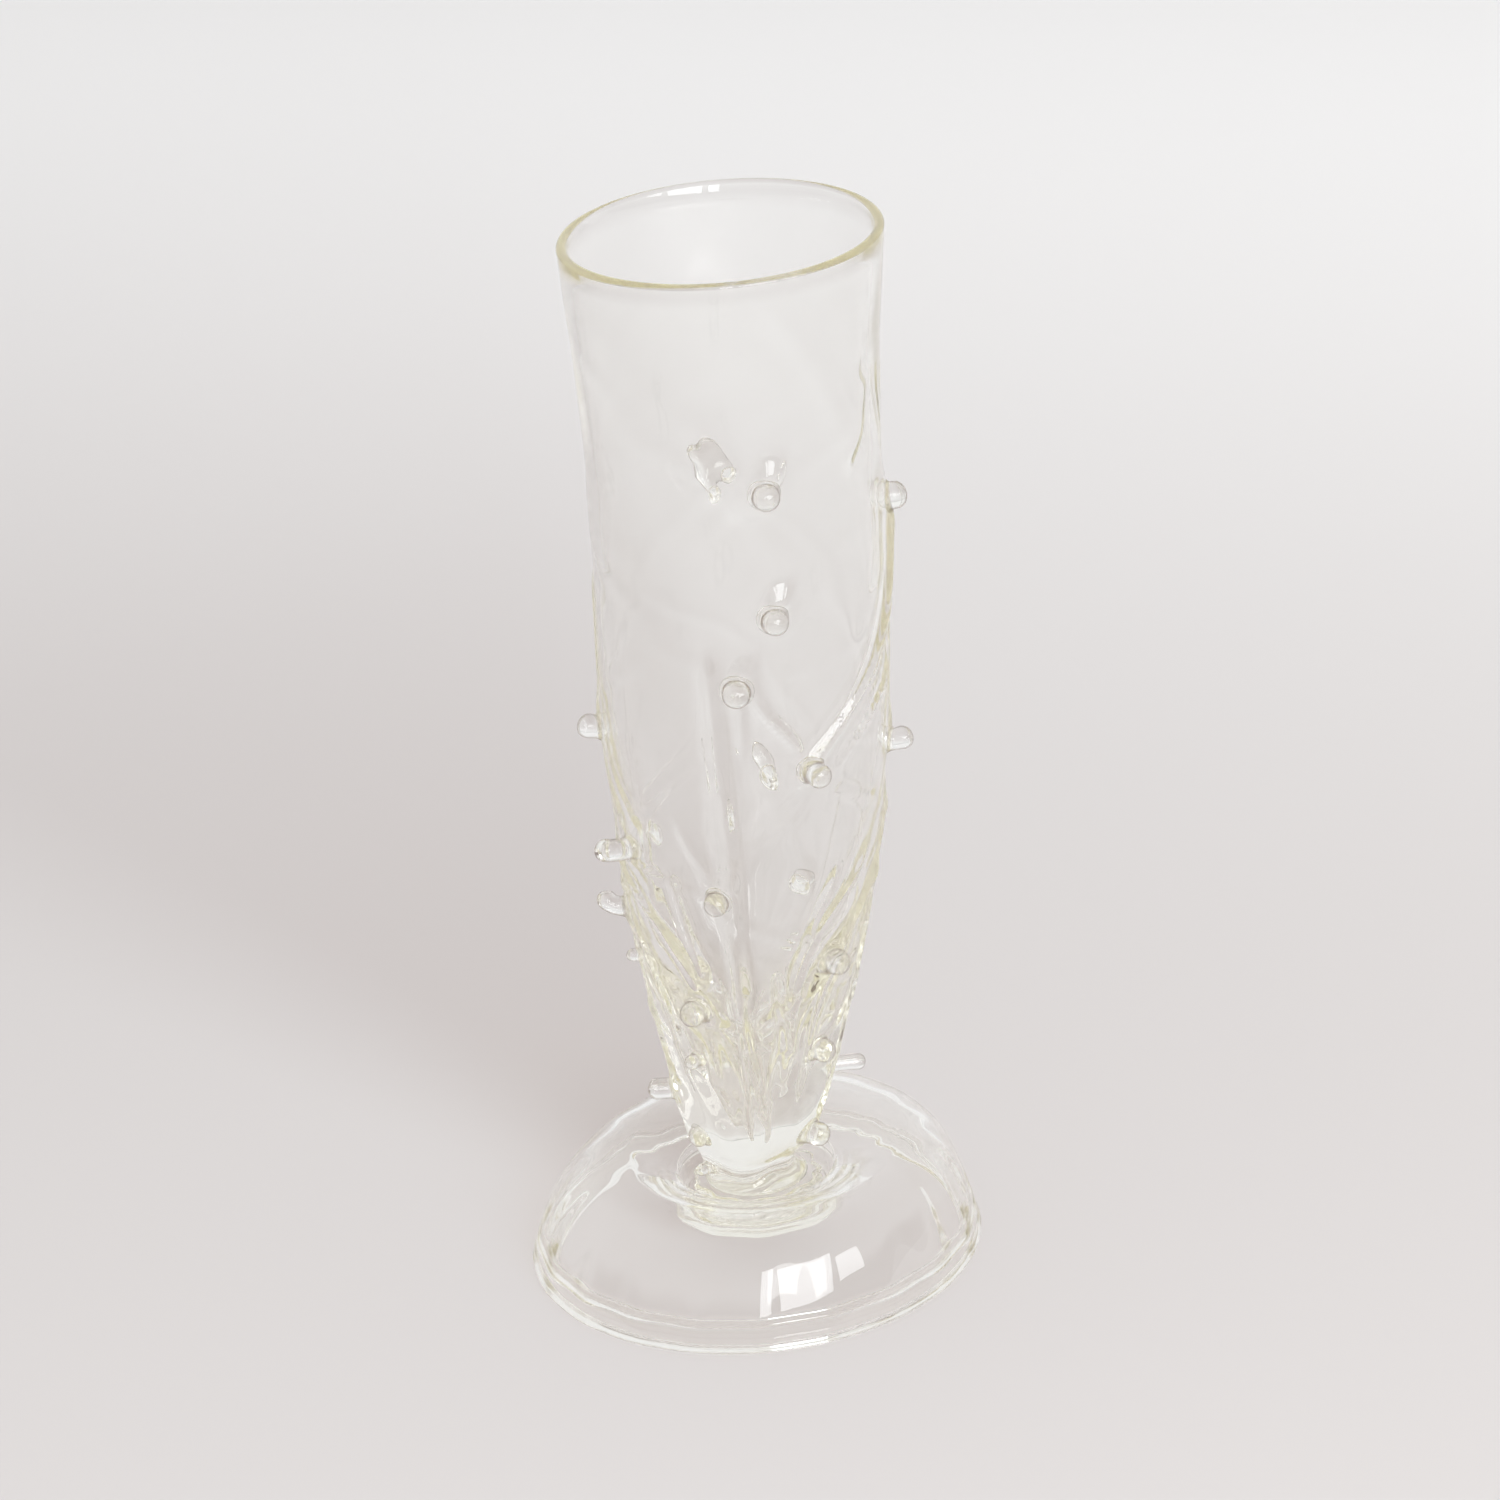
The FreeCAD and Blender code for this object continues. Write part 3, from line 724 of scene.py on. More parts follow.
class LatheTree:
    """A node tree that turns a profile about +Z, with ribs or lobes.

    The object's own curve is the profile: X is the radius, Z the height, Y the
    shift of the ring's centre along +X, and the point's radius the share of
    the rib height that the ring shows.
    """

    name = "fluted_lathe"
    settings: tuple[tuple[str, str], ...] = (
        ("Rib Count", "NodeSocketFloat"), ("Rib Height", "NodeSocketFloat"),
        ("Unevenness", "NodeSocketFloat"),
    )
    wobble_turns = 3.0
    weld_distance = 2e-6

    def __init__(self) -> None:
        """Build the tree once."""
        self.tree = bpy.data.node_groups.new(self.name, "GeometryNodeTree")
        self.sockets: dict[str, str] = {}
        for name, kind in (
                ("Profile", "NodeSocketGeometry"), ("Around", "NodeSocketInt"),
                ("Along", "NodeSocketInt"), *self.settings, ("Material", "NodeSocketMaterial")):
            self.sockets[name] = self.tree.interface.new_socket(
                name=name, in_out="INPUT", socket_type=kind).identifier
        self.tree.interface.new_socket(
            name="Piece", in_out="OUTPUT", socket_type="NodeSocketGeometry")
        self.graph = Graph(self.tree)
        self.given = self.graph.node("NodeGroupInput").outputs
        self.build()

    def grid(self) -> tuple[bpy.types.NodeSocket, bpy.types.NodeSocket, bpy.types.NodeSocket]:
        """Add the flat grid and the two runs across it, 0 to 1.

        Returns:
            The grid, the run round the piece and the run along it.
        """
        graph = self.graph
        grid = graph.node("GeometryNodeMeshGrid", {
            "Size X": 1.0, "Size Y": 1.0,
            "Vertices X": graph.math("ADD", self.given["Around"], 1.0),
            "Vertices Y": self.given["Along"]})
        axes = graph.split(graph.node("GeometryNodeInputPosition").outputs[0])
        around, along = (graph.math("ADD", axis, 0.5) for axis in axes[:2])
        return grid.outputs["Mesh"], around, along

    def read_profile(self, along: bpy.types.NodeSocket, kind: str,
                     value: bpy.types.NodeSocket) -> bpy.types.NodeSocket:
        """Read the profile's own points, one for each row of the grid.

        Args:
            along: The run along the piece, 0 to 1.
            kind: The type of what is read.
            value: What to read.

        Returns:
            The value at each row.
        """
        graph = self.graph
        rows = graph.math("SUBTRACT", self.given["Along"], 1.0)
        sample = graph.node("GeometryNodeSampleIndex", {
            "Geometry": self.given["Profile"], "Value": value,
            "Index": graph.math("ROUND", graph.times(along, rows))},
            data_type=kind, domain="POINT")
        return sample.outputs[0]

    def read_places(self, along: bpy.types.NodeSocket) -> bpy.types.NodeSocket:
        """Read where the profile's points are, one for each row of the grid."""
        here = self.graph.node("GeometryNodeInputPosition").outputs[0]
        return self.read_profile(along, "FLOAT_VECTOR", here)

    def build(self) -> None:
        """Lay out the nodes."""
        graph, given = self.graph, self.given
        mesh, around, along = self.grid()
        radius = graph.node("GeometryNodeInputRadius").outputs[0]
        strength = self.read_profile(along, "FLOAT", radius)
        point = graph.split(self.read_places(along))
        angle = graph.times(around, math.tau)
        wobble = graph.math("SINE", graph.times(angle, self.wobble_turns))
        wobble = graph.times(wobble, given["Unevenness"])
        turn = graph.math("ADD", graph.times(angle, given["Rib Count"]), wobble)
        wave = graph.times(graph.math("COSINE", turn), given["Rib Height"], strength)
        reach = graph.math("ADD", point[0], wave)
        x = graph.math("ADD", point[1], graph.times(reach, graph.math("COSINE", angle)))
        y = graph.times(reach, graph.math("SINE", angle))
        self.finish(mesh, graph.combine(x, y, point[2]))

    def finish(self, mesh: bpy.types.NodeSocket, places: bpy.types.NodeSocket) -> None:
        """Move the grid into place, close its seam and poles and give it its glass.

        Args:
            mesh: The flat grid.
            places: Where its points go.
        """
        node = self.graph.node
        made = node("GeometryNodeSetPosition", {"Geometry": mesh, "Position": places})
        made = node("GeometryNodeMergeByDistance", {
            "Geometry": made.outputs[0], "Distance": self.weld_distance})
        made = node("GeometryNodeSetShadeSmooth", {0: made.outputs[0]})
        made = node("GeometryNodeRealizeInstances", {0: made.outputs[0]})
        made = node("GeometryNodeSetMaterial", {
            "Geometry": made.outputs[0], "Material": self.given["Material"]})
        node("NodeGroupOutput", {0: made.outputs[0]})

    def draw(self, name: str, points: Sequence[Point], around: int,
             glass: bpy.types.Material, values: dict[str, object]) -> bpy.types.Object:
        """Run the tree on a profile and return the piece as a plain mesh.

        Args:
            name: The piece's name.
            points: Radius, centre shift, height and rib share, in millimetres.
            around: How many points one ring has.
            glass: The piece's material.
            values: A value for each of the tree's own settings.

        Returns:
            The finished piece.
        """
        curve = bpy.data.curves.new(name, "CURVE")
        curve.dimensions = "3D"
        spline = curve.splines.new("POLY")
        spline.points.add(len(points) - 1)
        for target, (radius, shift, height, strength) in zip(spline.points, points):
            target.co = (radius * MM, shift * MM, height * MM, 1.0)
            target.radius = strength
        carrier = place(name, curve)
        modifier = carrier.modifiers.new("lathe", "NODES")
        modifier.node_group = self.tree
        values = {"Around": around, "Along": len(points), "Material": glass, **values}
        for key, value in values.items():
            modifier[self.sockets[key]] = value
        curve.update_tag()
        bpy.context.view_layer.update()
        depsgraph = bpy.context.evaluated_depsgraph_get()
        mesh = bpy.data.meshes.new_from_object(
            carrier.evaluated_get(depsgraph), depsgraph=depsgraph)
        bpy.data.objects.remove(carrier)
        return place(name, mesh)


class KnobTree(LatheTree):
    """A node tree that draws one knob out of the bowl's own surface.

    The profile's X and Z are shares of the knob's radius and length. Its root
    follows the bowl, which a ray finds under every point of the root.
    """

    name = "drawn_knob"
    settings = (
        ("Bowl", "NodeSocketObject"), ("Base", "NodeSocketVector"),
        ("Outward", "NodeSocketVector"), ("Lean", "NodeSocketVector"),
        ("Radius", "NodeSocketFloat"), ("Length", "NodeSocketFloat"),
    )
    ray_start = 8.0
    ray_length = 20.0
    seat_fade = 2.6

    def build(self) -> None:
        """Lay out the nodes."""
        graph, given = self.graph, self.given
        mesh, around, along = self.grid()
        point = graph.split(graph.vector("SCALE", self.read_places(along), 1.0 / MM))
        up = graph.math("MAXIMUM", point[2], 0.0)
        outward, lean, length = given["Outward"], given["Lean"], given["Length"]
        tangent = graph.vector("ADD", outward, graph.vector("SCALE", lean, graph.times(up, 2.0)))
        tangent = graph.vector("NORMALIZE", tangent)
        first = graph.vector("NORMALIZE", graph.vector("CROSS_PRODUCT", tangent, (0.0, 0.0, 1.0)))
        second = graph.vector("CROSS_PRODUCT", tangent, first)
        straight = graph.vector("SCALE", outward, graph.times(point[2], length))
        sideways = graph.vector("SCALE", lean, graph.times(up, up, length))
        centre = graph.vector("ADD", graph.vector("ADD", given["Base"], straight), sideways)
        angle = graph.times(around, math.tau)
        reach = graph.times(point[0], given["Radius"])
        ring = graph.vector(
            "ADD",
            graph.vector("SCALE", first, graph.times(reach, graph.math("COSINE", angle))),
            graph.vector("SCALE", second, graph.times(reach, graph.math("SINE", angle))))
        self.finish(mesh, self.seat(graph.vector("ADD", centre, ring), up))

    def seat(self, free: bpy.types.NodeSocket, up: bpy.types.NodeSocket) -> bpy.types.NodeSocket:
        """Move the knob's root on to the bowl.

        Args:
            free: The knob's points as if the bowl were flat.
            up: How far up the knob each point is, 0 to 1.

        Returns:
            The points with the root on the bowl's surface.
        """
        graph, outward = self.graph, self.given["Outward"]
        bowl = graph.node("GeometryNodeObjectInfo", {"Object": self.given["Bowl"]},
                          transform_space="ORIGINAL")
        above = graph.vector("SCALE", outward, self.ray_start * MM)
        ray = graph.node("GeometryNodeRaycast", {
            "Target Geometry": bowl.outputs["Geometry"],
            "Source Position": graph.vector("ADD", free, above),
            "Ray Direction": graph.vector("SCALE", outward, -1.0),
            "Ray Length": self.ray_length * MM}, data_type="FLOAT")
        offset = graph.vector("SUBTRACT", ray.outputs["Hit Position"], self.given["Base"])
        height = graph.vector("DOT_PRODUCT", offset, outward)
        fade = graph.math("SUBTRACT", 1.0, graph.times(up, self.seat_fade))
        fade = graph.math("MAXIMUM", fade, 0.0)
        height = graph.times(height, graph.times(fade, ray.outputs["Is Hit"]))
        return graph.vector("ADD", free, graph.vector("SCALE", outward, height))


@dataclass(frozen=True)
class BlownSurface:
    """The hand-worked surface of blown glass: long striae and a faint bloom."""

    stretch: tuple[float, float, float] = (1.0, 1.0, 0.3)
    striae_detail: float = 2.0
    striae_distortion: float = 0.6
    bloom_scale: float = 45.0
    bloom_detail: float = 5.0
    bloom_from: float = 0.45

    def group(self) -> bpy.types.NodeTree:
        """Build the shared group.

        Returns:
            A group with a vector, a scale and a bloom in, and a height and a
            roughness out.
        """
        tree = bpy.data.node_groups.new("blown_surface", "ShaderNodeTree")
        for name, direction, kind in (
                ("Vector", "INPUT", "NodeSocketVector"), ("Scale", "INPUT", "NodeSocketFloat"),
                ("Bloom", "INPUT", "NodeSocketFloat"), ("Height", "OUTPUT", "NodeSocketFloat"),
                ("Roughness", "OUTPUT", "NodeSocketFloat")):
            tree.interface.new_socket(name=name, in_out=direction, socket_type=kind)
        graph = Graph(tree)
        given = graph.node("NodeGroupInput").outputs
        stretched = graph.node("ShaderNodeMapping", {
            "Scale": self.stretch, "Vector": given["Vector"]})
        striae = graph.node("ShaderNodeTexNoise", {
            "Detail": self.striae_detail, "Distortion": self.striae_distortion,
            "Vector": stretched.outputs[0], "Scale": given["Scale"]})
        haze = graph.node("ShaderNodeTexNoise", {
            "Scale": self.bloom_scale, "Detail": self.bloom_detail, "Vector": given["Vector"]})
        worn = graph.math("SUBTRACT", haze.outputs["Fac"], self.bloom_from)
        graph.node("NodeGroupOutput", {
            "Height": striae.outputs["Fac"],
            "Roughness": graph.times(graph.math("MAXIMUM", worn, 0.0), given["Bloom"])})
        return tree


@dataclass(frozen=True)
class ClearGlass:
    """Clear soda glass with a straw tint where it is thick, and, where its weight is set, painted
    shade towards its edges as seen.
    """

    slot: Finish
    tint: tuple[float, float, float] = (0.995, 0.995, 0.99)
    refraction: float = 1.5
    depth_tint: tuple[float, float, float] = (0.984, 0.979, 0.945)
    depth_strength: float = 50.0
    shadow_tint: tuple[float, float, float] = (0.83, 0.79, 0.78)
    # painted shade: a dark brown tint blended into the base colour towards the glass's edges as
    # seen
    painted_edge_shade_tint: tuple[float, float, float] = (0.13, 0.06, 0.04)
    painted_edge_shade_weight: float = 0.0
    painted_edge_shade_from: float = 0.36
    painted_edge_shade_to: float = 0.80
    striae_scale: float = 30.0
    striae_depth: float = 0.00003
    bloom: float = 0.012

    def painted_edge_shade(self, graph: Graph) -> bpy.types.NodeSocket:
        """Paint shade into the glass towards its edges as seen, standing in for the dark
        surroundings that the edges would show, and return the colour.

        Args:
            graph: The material's node tree.

        Returns:
            The colour.
        """
        edge = graph.node("ShaderNodeLayerWeight").outputs["Facing"]
        band = graph.ramp(edge, self.painted_edge_shade_from, self.painted_edge_shade_to)
        return graph.blend(graph.times(band, self.painted_edge_shade_weight), self.tint, self.painted_edge_shade_tint)

    def material(self, surface: bpy.types.NodeTree) -> bpy.types.Material:
        """Build the material.

        Args:
            surface: The node group that gives the hand-worked surface.

        Returns:
            The finished material.
        """
        made = bpy.data.materials.new(self.slot.value)
        made.use_nodes = True
        made.node_tree.nodes.clear()
        graph = Graph(made.node_tree)
        worked = graph.node("ShaderNodeGroup", {
            "Vector": graph.node("ShaderNodeTexCoord").outputs["Object"],
            "Scale": self.striae_scale, "Bloom": self.bloom}, node_tree=surface)
        bump = graph.node("ShaderNodeBump", {
            "Strength": 1.0, "Distance": self.striae_depth, "Height": worked.outputs["Height"]})
        shader = graph.node("ShaderNodeBsdfPrincipled", {
            "Base Color": (*self.tint, 1.0), "Metallic": 0.0, "IOR": self.refraction,
            "Transmission Weight": 1.0, "Roughness": worked.outputs["Roughness"],
            "Normal": bump.outputs["Normal"]})
        # painted shade towards the edges, only where its weight is set
        if self.painted_edge_shade_weight > 0.0:
            graph.feed(shader.inputs["Base Color"], self.painted_edge_shade(graph))
        depth = graph.node("ShaderNodeVolumeAbsorption", {
            "Color": (*self.depth_tint, 1.0), "Density": self.depth_strength})
        passing = graph.node("ShaderNodeBsdfTransparent", {"Color": (*self.shadow_tint, 1.0)})
        rays = graph.node("ShaderNodeLightPath")
        mix = graph.node("ShaderNodeMixShader", {
            0: rays.outputs["Is Shadow Ray"], 1: shader.outputs["BSDF"],
            2: passing.outputs["BSDF"]})
        graph.node("ShaderNodeOutputMaterial", {
            "Surface": mix.outputs[0], "Volume": depth.outputs["Volume"]})
        return made


@dataclass
class BlownBowl:
    """The ribbed bowl with its rounded lip and solid drawn neck."""

    sizes: GlassSizes
    ribs: RibNetwork
    mounds: Mounds
    around: int = 288
    outer_rows: int = 188
    inner_rows: int = 108
    lip_rows: int = 28
    even_rows_share: float = 0.6
    inner_row_power: float = 0.9
    thickening_from: float = 0.45
    thickening_walls: float = 1.6
    closing_from: float = 0.72
    closing_share: float = 0.965
    closing_power: float = 1.8
    seat_shares: tuple[float, ...] = (0.50, 0.97, 0.992)

    def rings(self, share: np.ndarray, plain: np.ndarray, relief: np.ndarray) -> np.ndarray:
        """Turn radii into points.

        Args:
            share: One share of the height for each ring.
            plain: One plain radius for each ring.
            relief: The ribs' height for each ring and angle.

        Returns:
            Rings by points by three coordinates in millimetres.
        """
        turn = np.linspace(0.0, math.tau, self.around, endpoint=False)[None, :]
        radius = plain[:, None] + relief
        x = self.ribs.line.centre(share)[:, None] + radius * np.cos(turn)
        y = radius * np.sin(turn)
        z = np.broadcast_to((share * self.sizes.total_height)[:, None], x.shape)
        return np.stack([x, y, z], axis=-1)

    def foot_share(self) -> float:
        """Return the share of the height at which the neck ends.

        Returns:
            The share, which the collar's top and the overlap give.
        """
        sizes = self.sizes
        bottom = sizes.foot_seat_height + sizes.collar_height - sizes.fused_overlap
        return bottom / sizes.total_height

    def seat(self) -> np.ndarray:
        """Make the rings of the neck's flat end, close together at its edge.

        Returns:
            Rings by points by three coordinates in millimetres.
        """
        share = np.full(len(self.seat_shares), self.foot_share())
        plain = self.ribs.line.radius(share) * np.array(self.seat_shares)
        return self.rings(share, plain, np.zeros((len(share), self.around)))

    def outside(self) -> np.ndarray:
        """Make the rings of the outer wall, from the neck up.

        Returns:
            Rings by points by three coordinates in millimetres.
        """
        stop = 1.0 - 0.5 * self.sizes.lip_thickness / self.sizes.total_height
        part = np.linspace(0.0, 1.0, self.outer_rows)
        run = self.even_rows_share * part + (1.0 - self.even_rows_share) * part * part
        share = self.foot_share() + (stop - self.foot_share()) * run
        plain = self.ribs.line.radius(share)
        return self.rings(share, plain, self.relief(share, plain))

    def relief(self, share: np.ndarray, plain: np.ndarray) -> np.ndarray:
        """Return the height of ribs and mounds for rings at some heights.

        Args:
            share: One share of the height for each ring.
            plain: One plain radius for each ring.

        Returns:
            A height for each ring and angle in millimetres.
        """
        angle = np.linspace(0.0, 360.0, self.around, endpoint=False)[None, :]
        ribs = self.ribs.relief(angle, share[:, None], plain[:, None])
        return ribs + self.mounds.relief(angle, share[:, None], plain[:, None])

    def lip(self) -> np.ndarray:
        """Make the rings over the fire-polished lip.

        Returns:
            Rings by points by three coordinates in millimetres.
        """
        sizes = self.sizes
        half = 0.5 * sizes.lip_thickness
        turn = np.linspace(0.0, math.pi, self.lip_rows + 2)[1:-1]
        middle = float(self.ribs.line.radius(np.array(1.0))) - half
        share = (sizes.total_height - half + half * np.sin(turn)) / sizes.total_height
        plain = middle + half * np.cos(turn)
        return self.rings(share, plain, np.zeros((len(share), self.around)))

    def inside(self) -> np.ndarray:
        """Make the rings of the cavity, from the lip down to its floor.

        Returns:
            Rings by points by three coordinates in millimetres.
        """
        sizes = self.sizes
        top = 1.0 - 0.5 * sizes.lip_thickness / sizes.total_height
        floor = sizes.cavity_floor_height / sizes.total_height
        turn = np.linspace(0.0, 0.5 * math.pi, self.inner_rows)
        part = np.sin(turn) ** self.inner_row_power
        share = top + (floor - top) * part
        plain = self.ribs.line.radius(share)
        growth = eased((part - self.thickening_from) / (1.0 - self.thickening_from))
        thick = sizes.lip_thickness + self.thickening_walls * sizes.wall_thickness * growth
        tip = np.maximum(0.0, (part - self.closing_from) / (1.0 - self.closing_from))
        close = 1.0 - self.closing_share * tip ** self.closing_power
        inner = (plain - thick) * close
        angle = np.linspace(0.0, 360.0, self.around, endpoint=False)[None, :]
        relief = self.ribs.inner_relief(angle, share[:, None], inner[:, None])
        return self.rings(share, inner, close[:, None] * relief)

    def build(self, glass: bpy.types.Material) -> bpy.types.Object:
        """Build and dress the bowl.

        Args:
            glass: Its material.

        Returns:
            The finished piece.
        """
        points = np.concatenate([self.seat(), self.outside(), self.lip(), self.inside()])
        mesh = ring_mesh("blown_bowl", points)
        mesh.materials.append(glass)
        return place("blown_bowl", mesh)


@dataclass
class DomedFoot:
    """The hollow, ribbed foot with its crown, its dip and its folded hem."""

    sizes: GlassSizes
    line: BowlLine
    rib_count: int = 20
    around: int = 350
    unevenness: float = 0.35
    dip_rows: int = 60
    under_dip_rows: int = 46
    dome_rows: int = 70
    under_dome_rows: int = 40
    rim_rows: int = 18
    hem_rows: int = 44
    dip_end: float = 0.98
    dip_row_power: float = 1.8
    under_dome_end: float = 0.34
    slope_step: float = 0.01
    under_drop_share: float = 1.3
    hem_reach_share: float = 0.52
    hem_turns: tuple[float, float] = (75.0, 270.0)
    hem_rib_shares: tuple[float, float] = (0.40, 0.15)
    rim_turns: tuple[float, float] = (-90.0, -6.0)
    rim_rounding: float = 1.0
    rim_rib_share: float = 0.15
    dip_rib_share: float = 0.1
    dome_rib_shares: tuple[float, float] = (0.15, 0.10)
    under_rib_shares: tuple[float, float] = (0.9, 0.1)
    face_shares: tuple[float, ...] = (0.95, 0.5, 0.0)
    out_share: float = 0.72
    up_share: float = 1.85
    low_share: float = 0.05
    pocket_depth: float = 0.42
    pocket_run: float = 0.18
    pocket_wall: float = 0.8
    crown_rounding: float = 0.25
    hem_swell: float = 0.30

    def dome(self, part: np.ndarray) -> tuple[np.ndarray, np.ndarray]:
        """Return radius and height on the dome, from rim (0) to crown (1).

        Args:
            part: How far up the dome to read.

        Returns:
            Both in millimetres, one for each part.
        """
        sizes = self.sizes
        turn = 0.5 * math.pi * part
        low = self.low_share * sizes.foot_crown_height
        out = sizes.foot_radius - sizes.foot_crown_radius
        radius = sizes.foot_crown_radius + out * np.abs(np.cos(turn)) ** self.out_share
        height = low + (sizes.foot_crown_height - low) * np.sin(turn) ** self.up_share
        return radius, height

    def dip(self, part: np.ndarray) -> tuple[np.ndarray, np.ndarray]:
        """Return radius and height in the dip, from seat (0) to crown (1).

        Args:
            part: How far up the dip to read.

        Returns:
            Both in millimetres, one for each part.
        """
        sizes = self.sizes
        radius = sizes.foot_seat_radius + (sizes.foot_crown_radius - sizes.foot_seat_radius) * part
        pocket = eased(part / self.pocket_run)
        bend = self.crown_rounding
        slope = (part - bend * part ** (1.0 / bend)) / (1.0 - bend)
        rise = slope + self.pocket_depth * (pocket - slope)
        height = sizes.foot_seat_height + (sizes.foot_crown_height - sizes.foot_seat_height) * rise
        return radius, height

    def shift(self, radius: np.ndarray, height: np.ndarray) -> np.ndarray:
        """Return how far each ring's centre has moved along +X.

        Args:
            radius: Each ring's radius in millimetres.
            height: Each ring's height in millimetres.

        Returns:
            One shift for each ring in millimetres.
        """
        sizes = self.sizes
        crown = sizes.foot_crown_shift * (height / sizes.foot_crown_height) ** 2
        run = sizes.foot_crown_radius - sizes.foot_seat_radius
        inward = eased((sizes.foot_crown_radius - radius) / run)
        return crown + (self.line.seat_shift() - crown) * inward

    def underside(self) -> list[tuple[float, float, float]]:
        """List the hollow from its middle out to the hem.

        Returns:
            Radius, height and rib share of each point.
        """
        sizes = self.sizes
        drop = sizes.foot_wall * self.under_drop_share
        rows = [(share * sizes.foot_seat_radius, sizes.foot_seat_height - drop, 0.0)
                for share in reversed(self.face_shares[1:])]
        for part in self.dip_end * np.linspace(0.0, 1.0, self.under_dip_rows) ** self.dip_row_power:
            radius, height = self.dip(part)
            radius = radius + sizes.foot_wall * self.pocket_wall * (1.0 - part) ** 2
            height = height - (drop + (sizes.foot_wall - drop) * part)
            rows.append((radius, height, self.dip_rib_share * part))
        rim, crown = self.under_rib_shares
        for part in np.linspace(1.0, self.under_dome_end, self.under_dome_rows):
            radius, height = self.dome(part)
            ahead, below = self.dome(part - self.slope_step)
            run = math.hypot(ahead - radius, height - below)
            rows.append((radius - sizes.foot_wall * (height - below) / run,
                         height - sizes.foot_wall * (ahead - radius) / run,
                         rim + (crown - rim) * part))
        return rows

    def hem(self) -> list[tuple[float, float, float]]:
        """List the hem from the hollow round to the floor and up to the rim.

        Returns:
            Radius, height and rib share of each point.
        """
        sizes = self.sizes
        half = 0.5 * sizes.foot_hem_height
        middle = sizes.foot_radius - sizes.foot_hem_width
        middle = middle + self.hem_reach_share * sizes.foot_hem_height
        rows = []
        shares = np.linspace(*self.hem_rib_shares, self.hem_rows)
        for turn, share in zip(np.radians(np.linspace(*self.hem_turns, self.hem_rows)), shares):
            swell = self.hem_swell * sizes.foot_hem_height * math.cos(turn)
            rows.append((middle + swell, half * (1.0 + math.sin(turn)), share))
        low, widest = self.dome(np.array(0.0))
        for turn in np.radians(np.linspace(*self.rim_turns, self.rim_rows)):
            radius = low - self.rim_rounding * (1.0 - math.cos(turn))
            rows.append((radius, widest * (1.0 + math.sin(turn)), self.rim_rib_share))
        return rows

    def topside(self) -> list[tuple[float, float, float]]:
        """List the outer dome and the dip from the rim to the middle on top.

        Returns:
            Radius, height and rib share of each point.
        """
        sizes = self.sizes
        rim, crown = self.dome_rib_shares
        rows = []
        for part in np.linspace(0.0, 1.0, self.dome_rows):
            rows.append((*self.dome(part), rim + (crown - rim) * part))
        for part in self.dip_end * np.linspace(1.0, 0.0, self.dip_rows) ** self.dip_row_power:
            rows.append((*self.dip(part), self.dip_rib_share * part))
        return rows + [(share * sizes.foot_seat_radius, sizes.foot_seat_height, 0.0)
                       for share in self.face_shares]

    def profile(self) -> list[Point]:
        """List the profile from the middle underneath to the middle on top.

        Returns:
            Radius, centre shift, height and rib share of each point.
        """
        table = np.array(self.underside() + self.hem() + self.topside(), dtype=float)
        shift = self.shift(table[:, 0], table[:, 1])
        return [(r, s, h, w) for (r, h, w), s in zip(table.tolist(), shift.tolist())]

    def build(self, tree: LatheTree, glass: bpy.types.Material) -> bpy.types.Object:
        """Build and dress the foot.

        Args:
            tree: The tree that turns a profile.
            glass: Its material.

        Returns:
            The finished piece.
        """
        return tree.draw("domed_foot", self.profile(), self.around, glass, {
            "Rib Count": float(self.rib_count),
            "Rib Height": self.sizes.foot_rib_height * MM,
            "Unevenness": self.unevenness})


@dataclass
class LobedCollar:
    """The thick wafer of glass between the neck and the foot."""

    sizes: GlassSizes
    line: BowlLine
    lobes: int = 11
    around: int = 264
    side_rows: int = 80
    unevenness: float = 0.5
    softening: tuple[float, ...] = (1.0, 2.0, 3.0, 2.0, 1.0)
    face_shares: tuple[float, ...] = (0.0, 0.5, 0.95, 0.985)
    shares: tuple[tuple[float, float, float], ...] = (
        (0.00, 0.925, 0.5), (0.03, 0.960, 0.8), (0.14, 0.995, 1.0),
        (0.28, 1.005, 1.0), (0.42, 0.975, 0.9), (0.54, 0.965, 0.9),
        (0.68, 1.000, 1.0), (0.82, 1.010, 1.0), (0.93, 0.985, 0.9),
        (0.99, 0.945, 0.7), (1.00, 0.910, 0.5),
    )

    def profile(self) -> list[Point]:
        """List the profile from the middle underneath to the middle on top.

        Returns:
            Radius, centre shift, height and rib share of each point.
        """
        sizes = self.sizes
        shift = self.line.seat_shift()
        table = np.array(self.shares)
        run = np.linspace(0.0, len(table) - 1.0, self.side_rows)
        rows = [np.interp(run, np.arange(len(table)), column) for column in table.T]
        kernel = np.array(self.softening) / sum(self.softening)
        reach = len(kernel) // 2
        up, out, wave = (np.convolve(np.pad(row, reach, mode="edge"), kernel, mode="valid")
                         for row in rows)
        bottom = sizes.foot_seat_height - sizes.fused_overlap
        top = sizes.foot_seat_height + sizes.collar_height
        low = [(share * out[0] * sizes.collar_radius, shift, bottom, share * wave[0])
               for share in self.face_shares]
        high = [(share * out[-1] * sizes.collar_radius, shift, top, share * wave[-1])
                for share in reversed(self.face_shares)]
        side = [(o * sizes.collar_radius, shift, bottom + (top - bottom) * u, w)
                for u, o, w in zip(up, out, wave)]
        return low + side + high

    def build(self, tree: LatheTree, glass: bpy.types.Material) -> bpy.types.Object:
        """Build and dress the collar.

        Args:
            tree: The tree that turns a profile.
            glass: Its material.

        Returns:
            The finished piece.
        """
        return tree.draw("lobed_collar", self.profile(), self.around, glass, {
            "Rib Count": float(self.lobes), "Rib Height": self.sizes.collar_wave * MM,
            "Unevenness": self.unevenness})


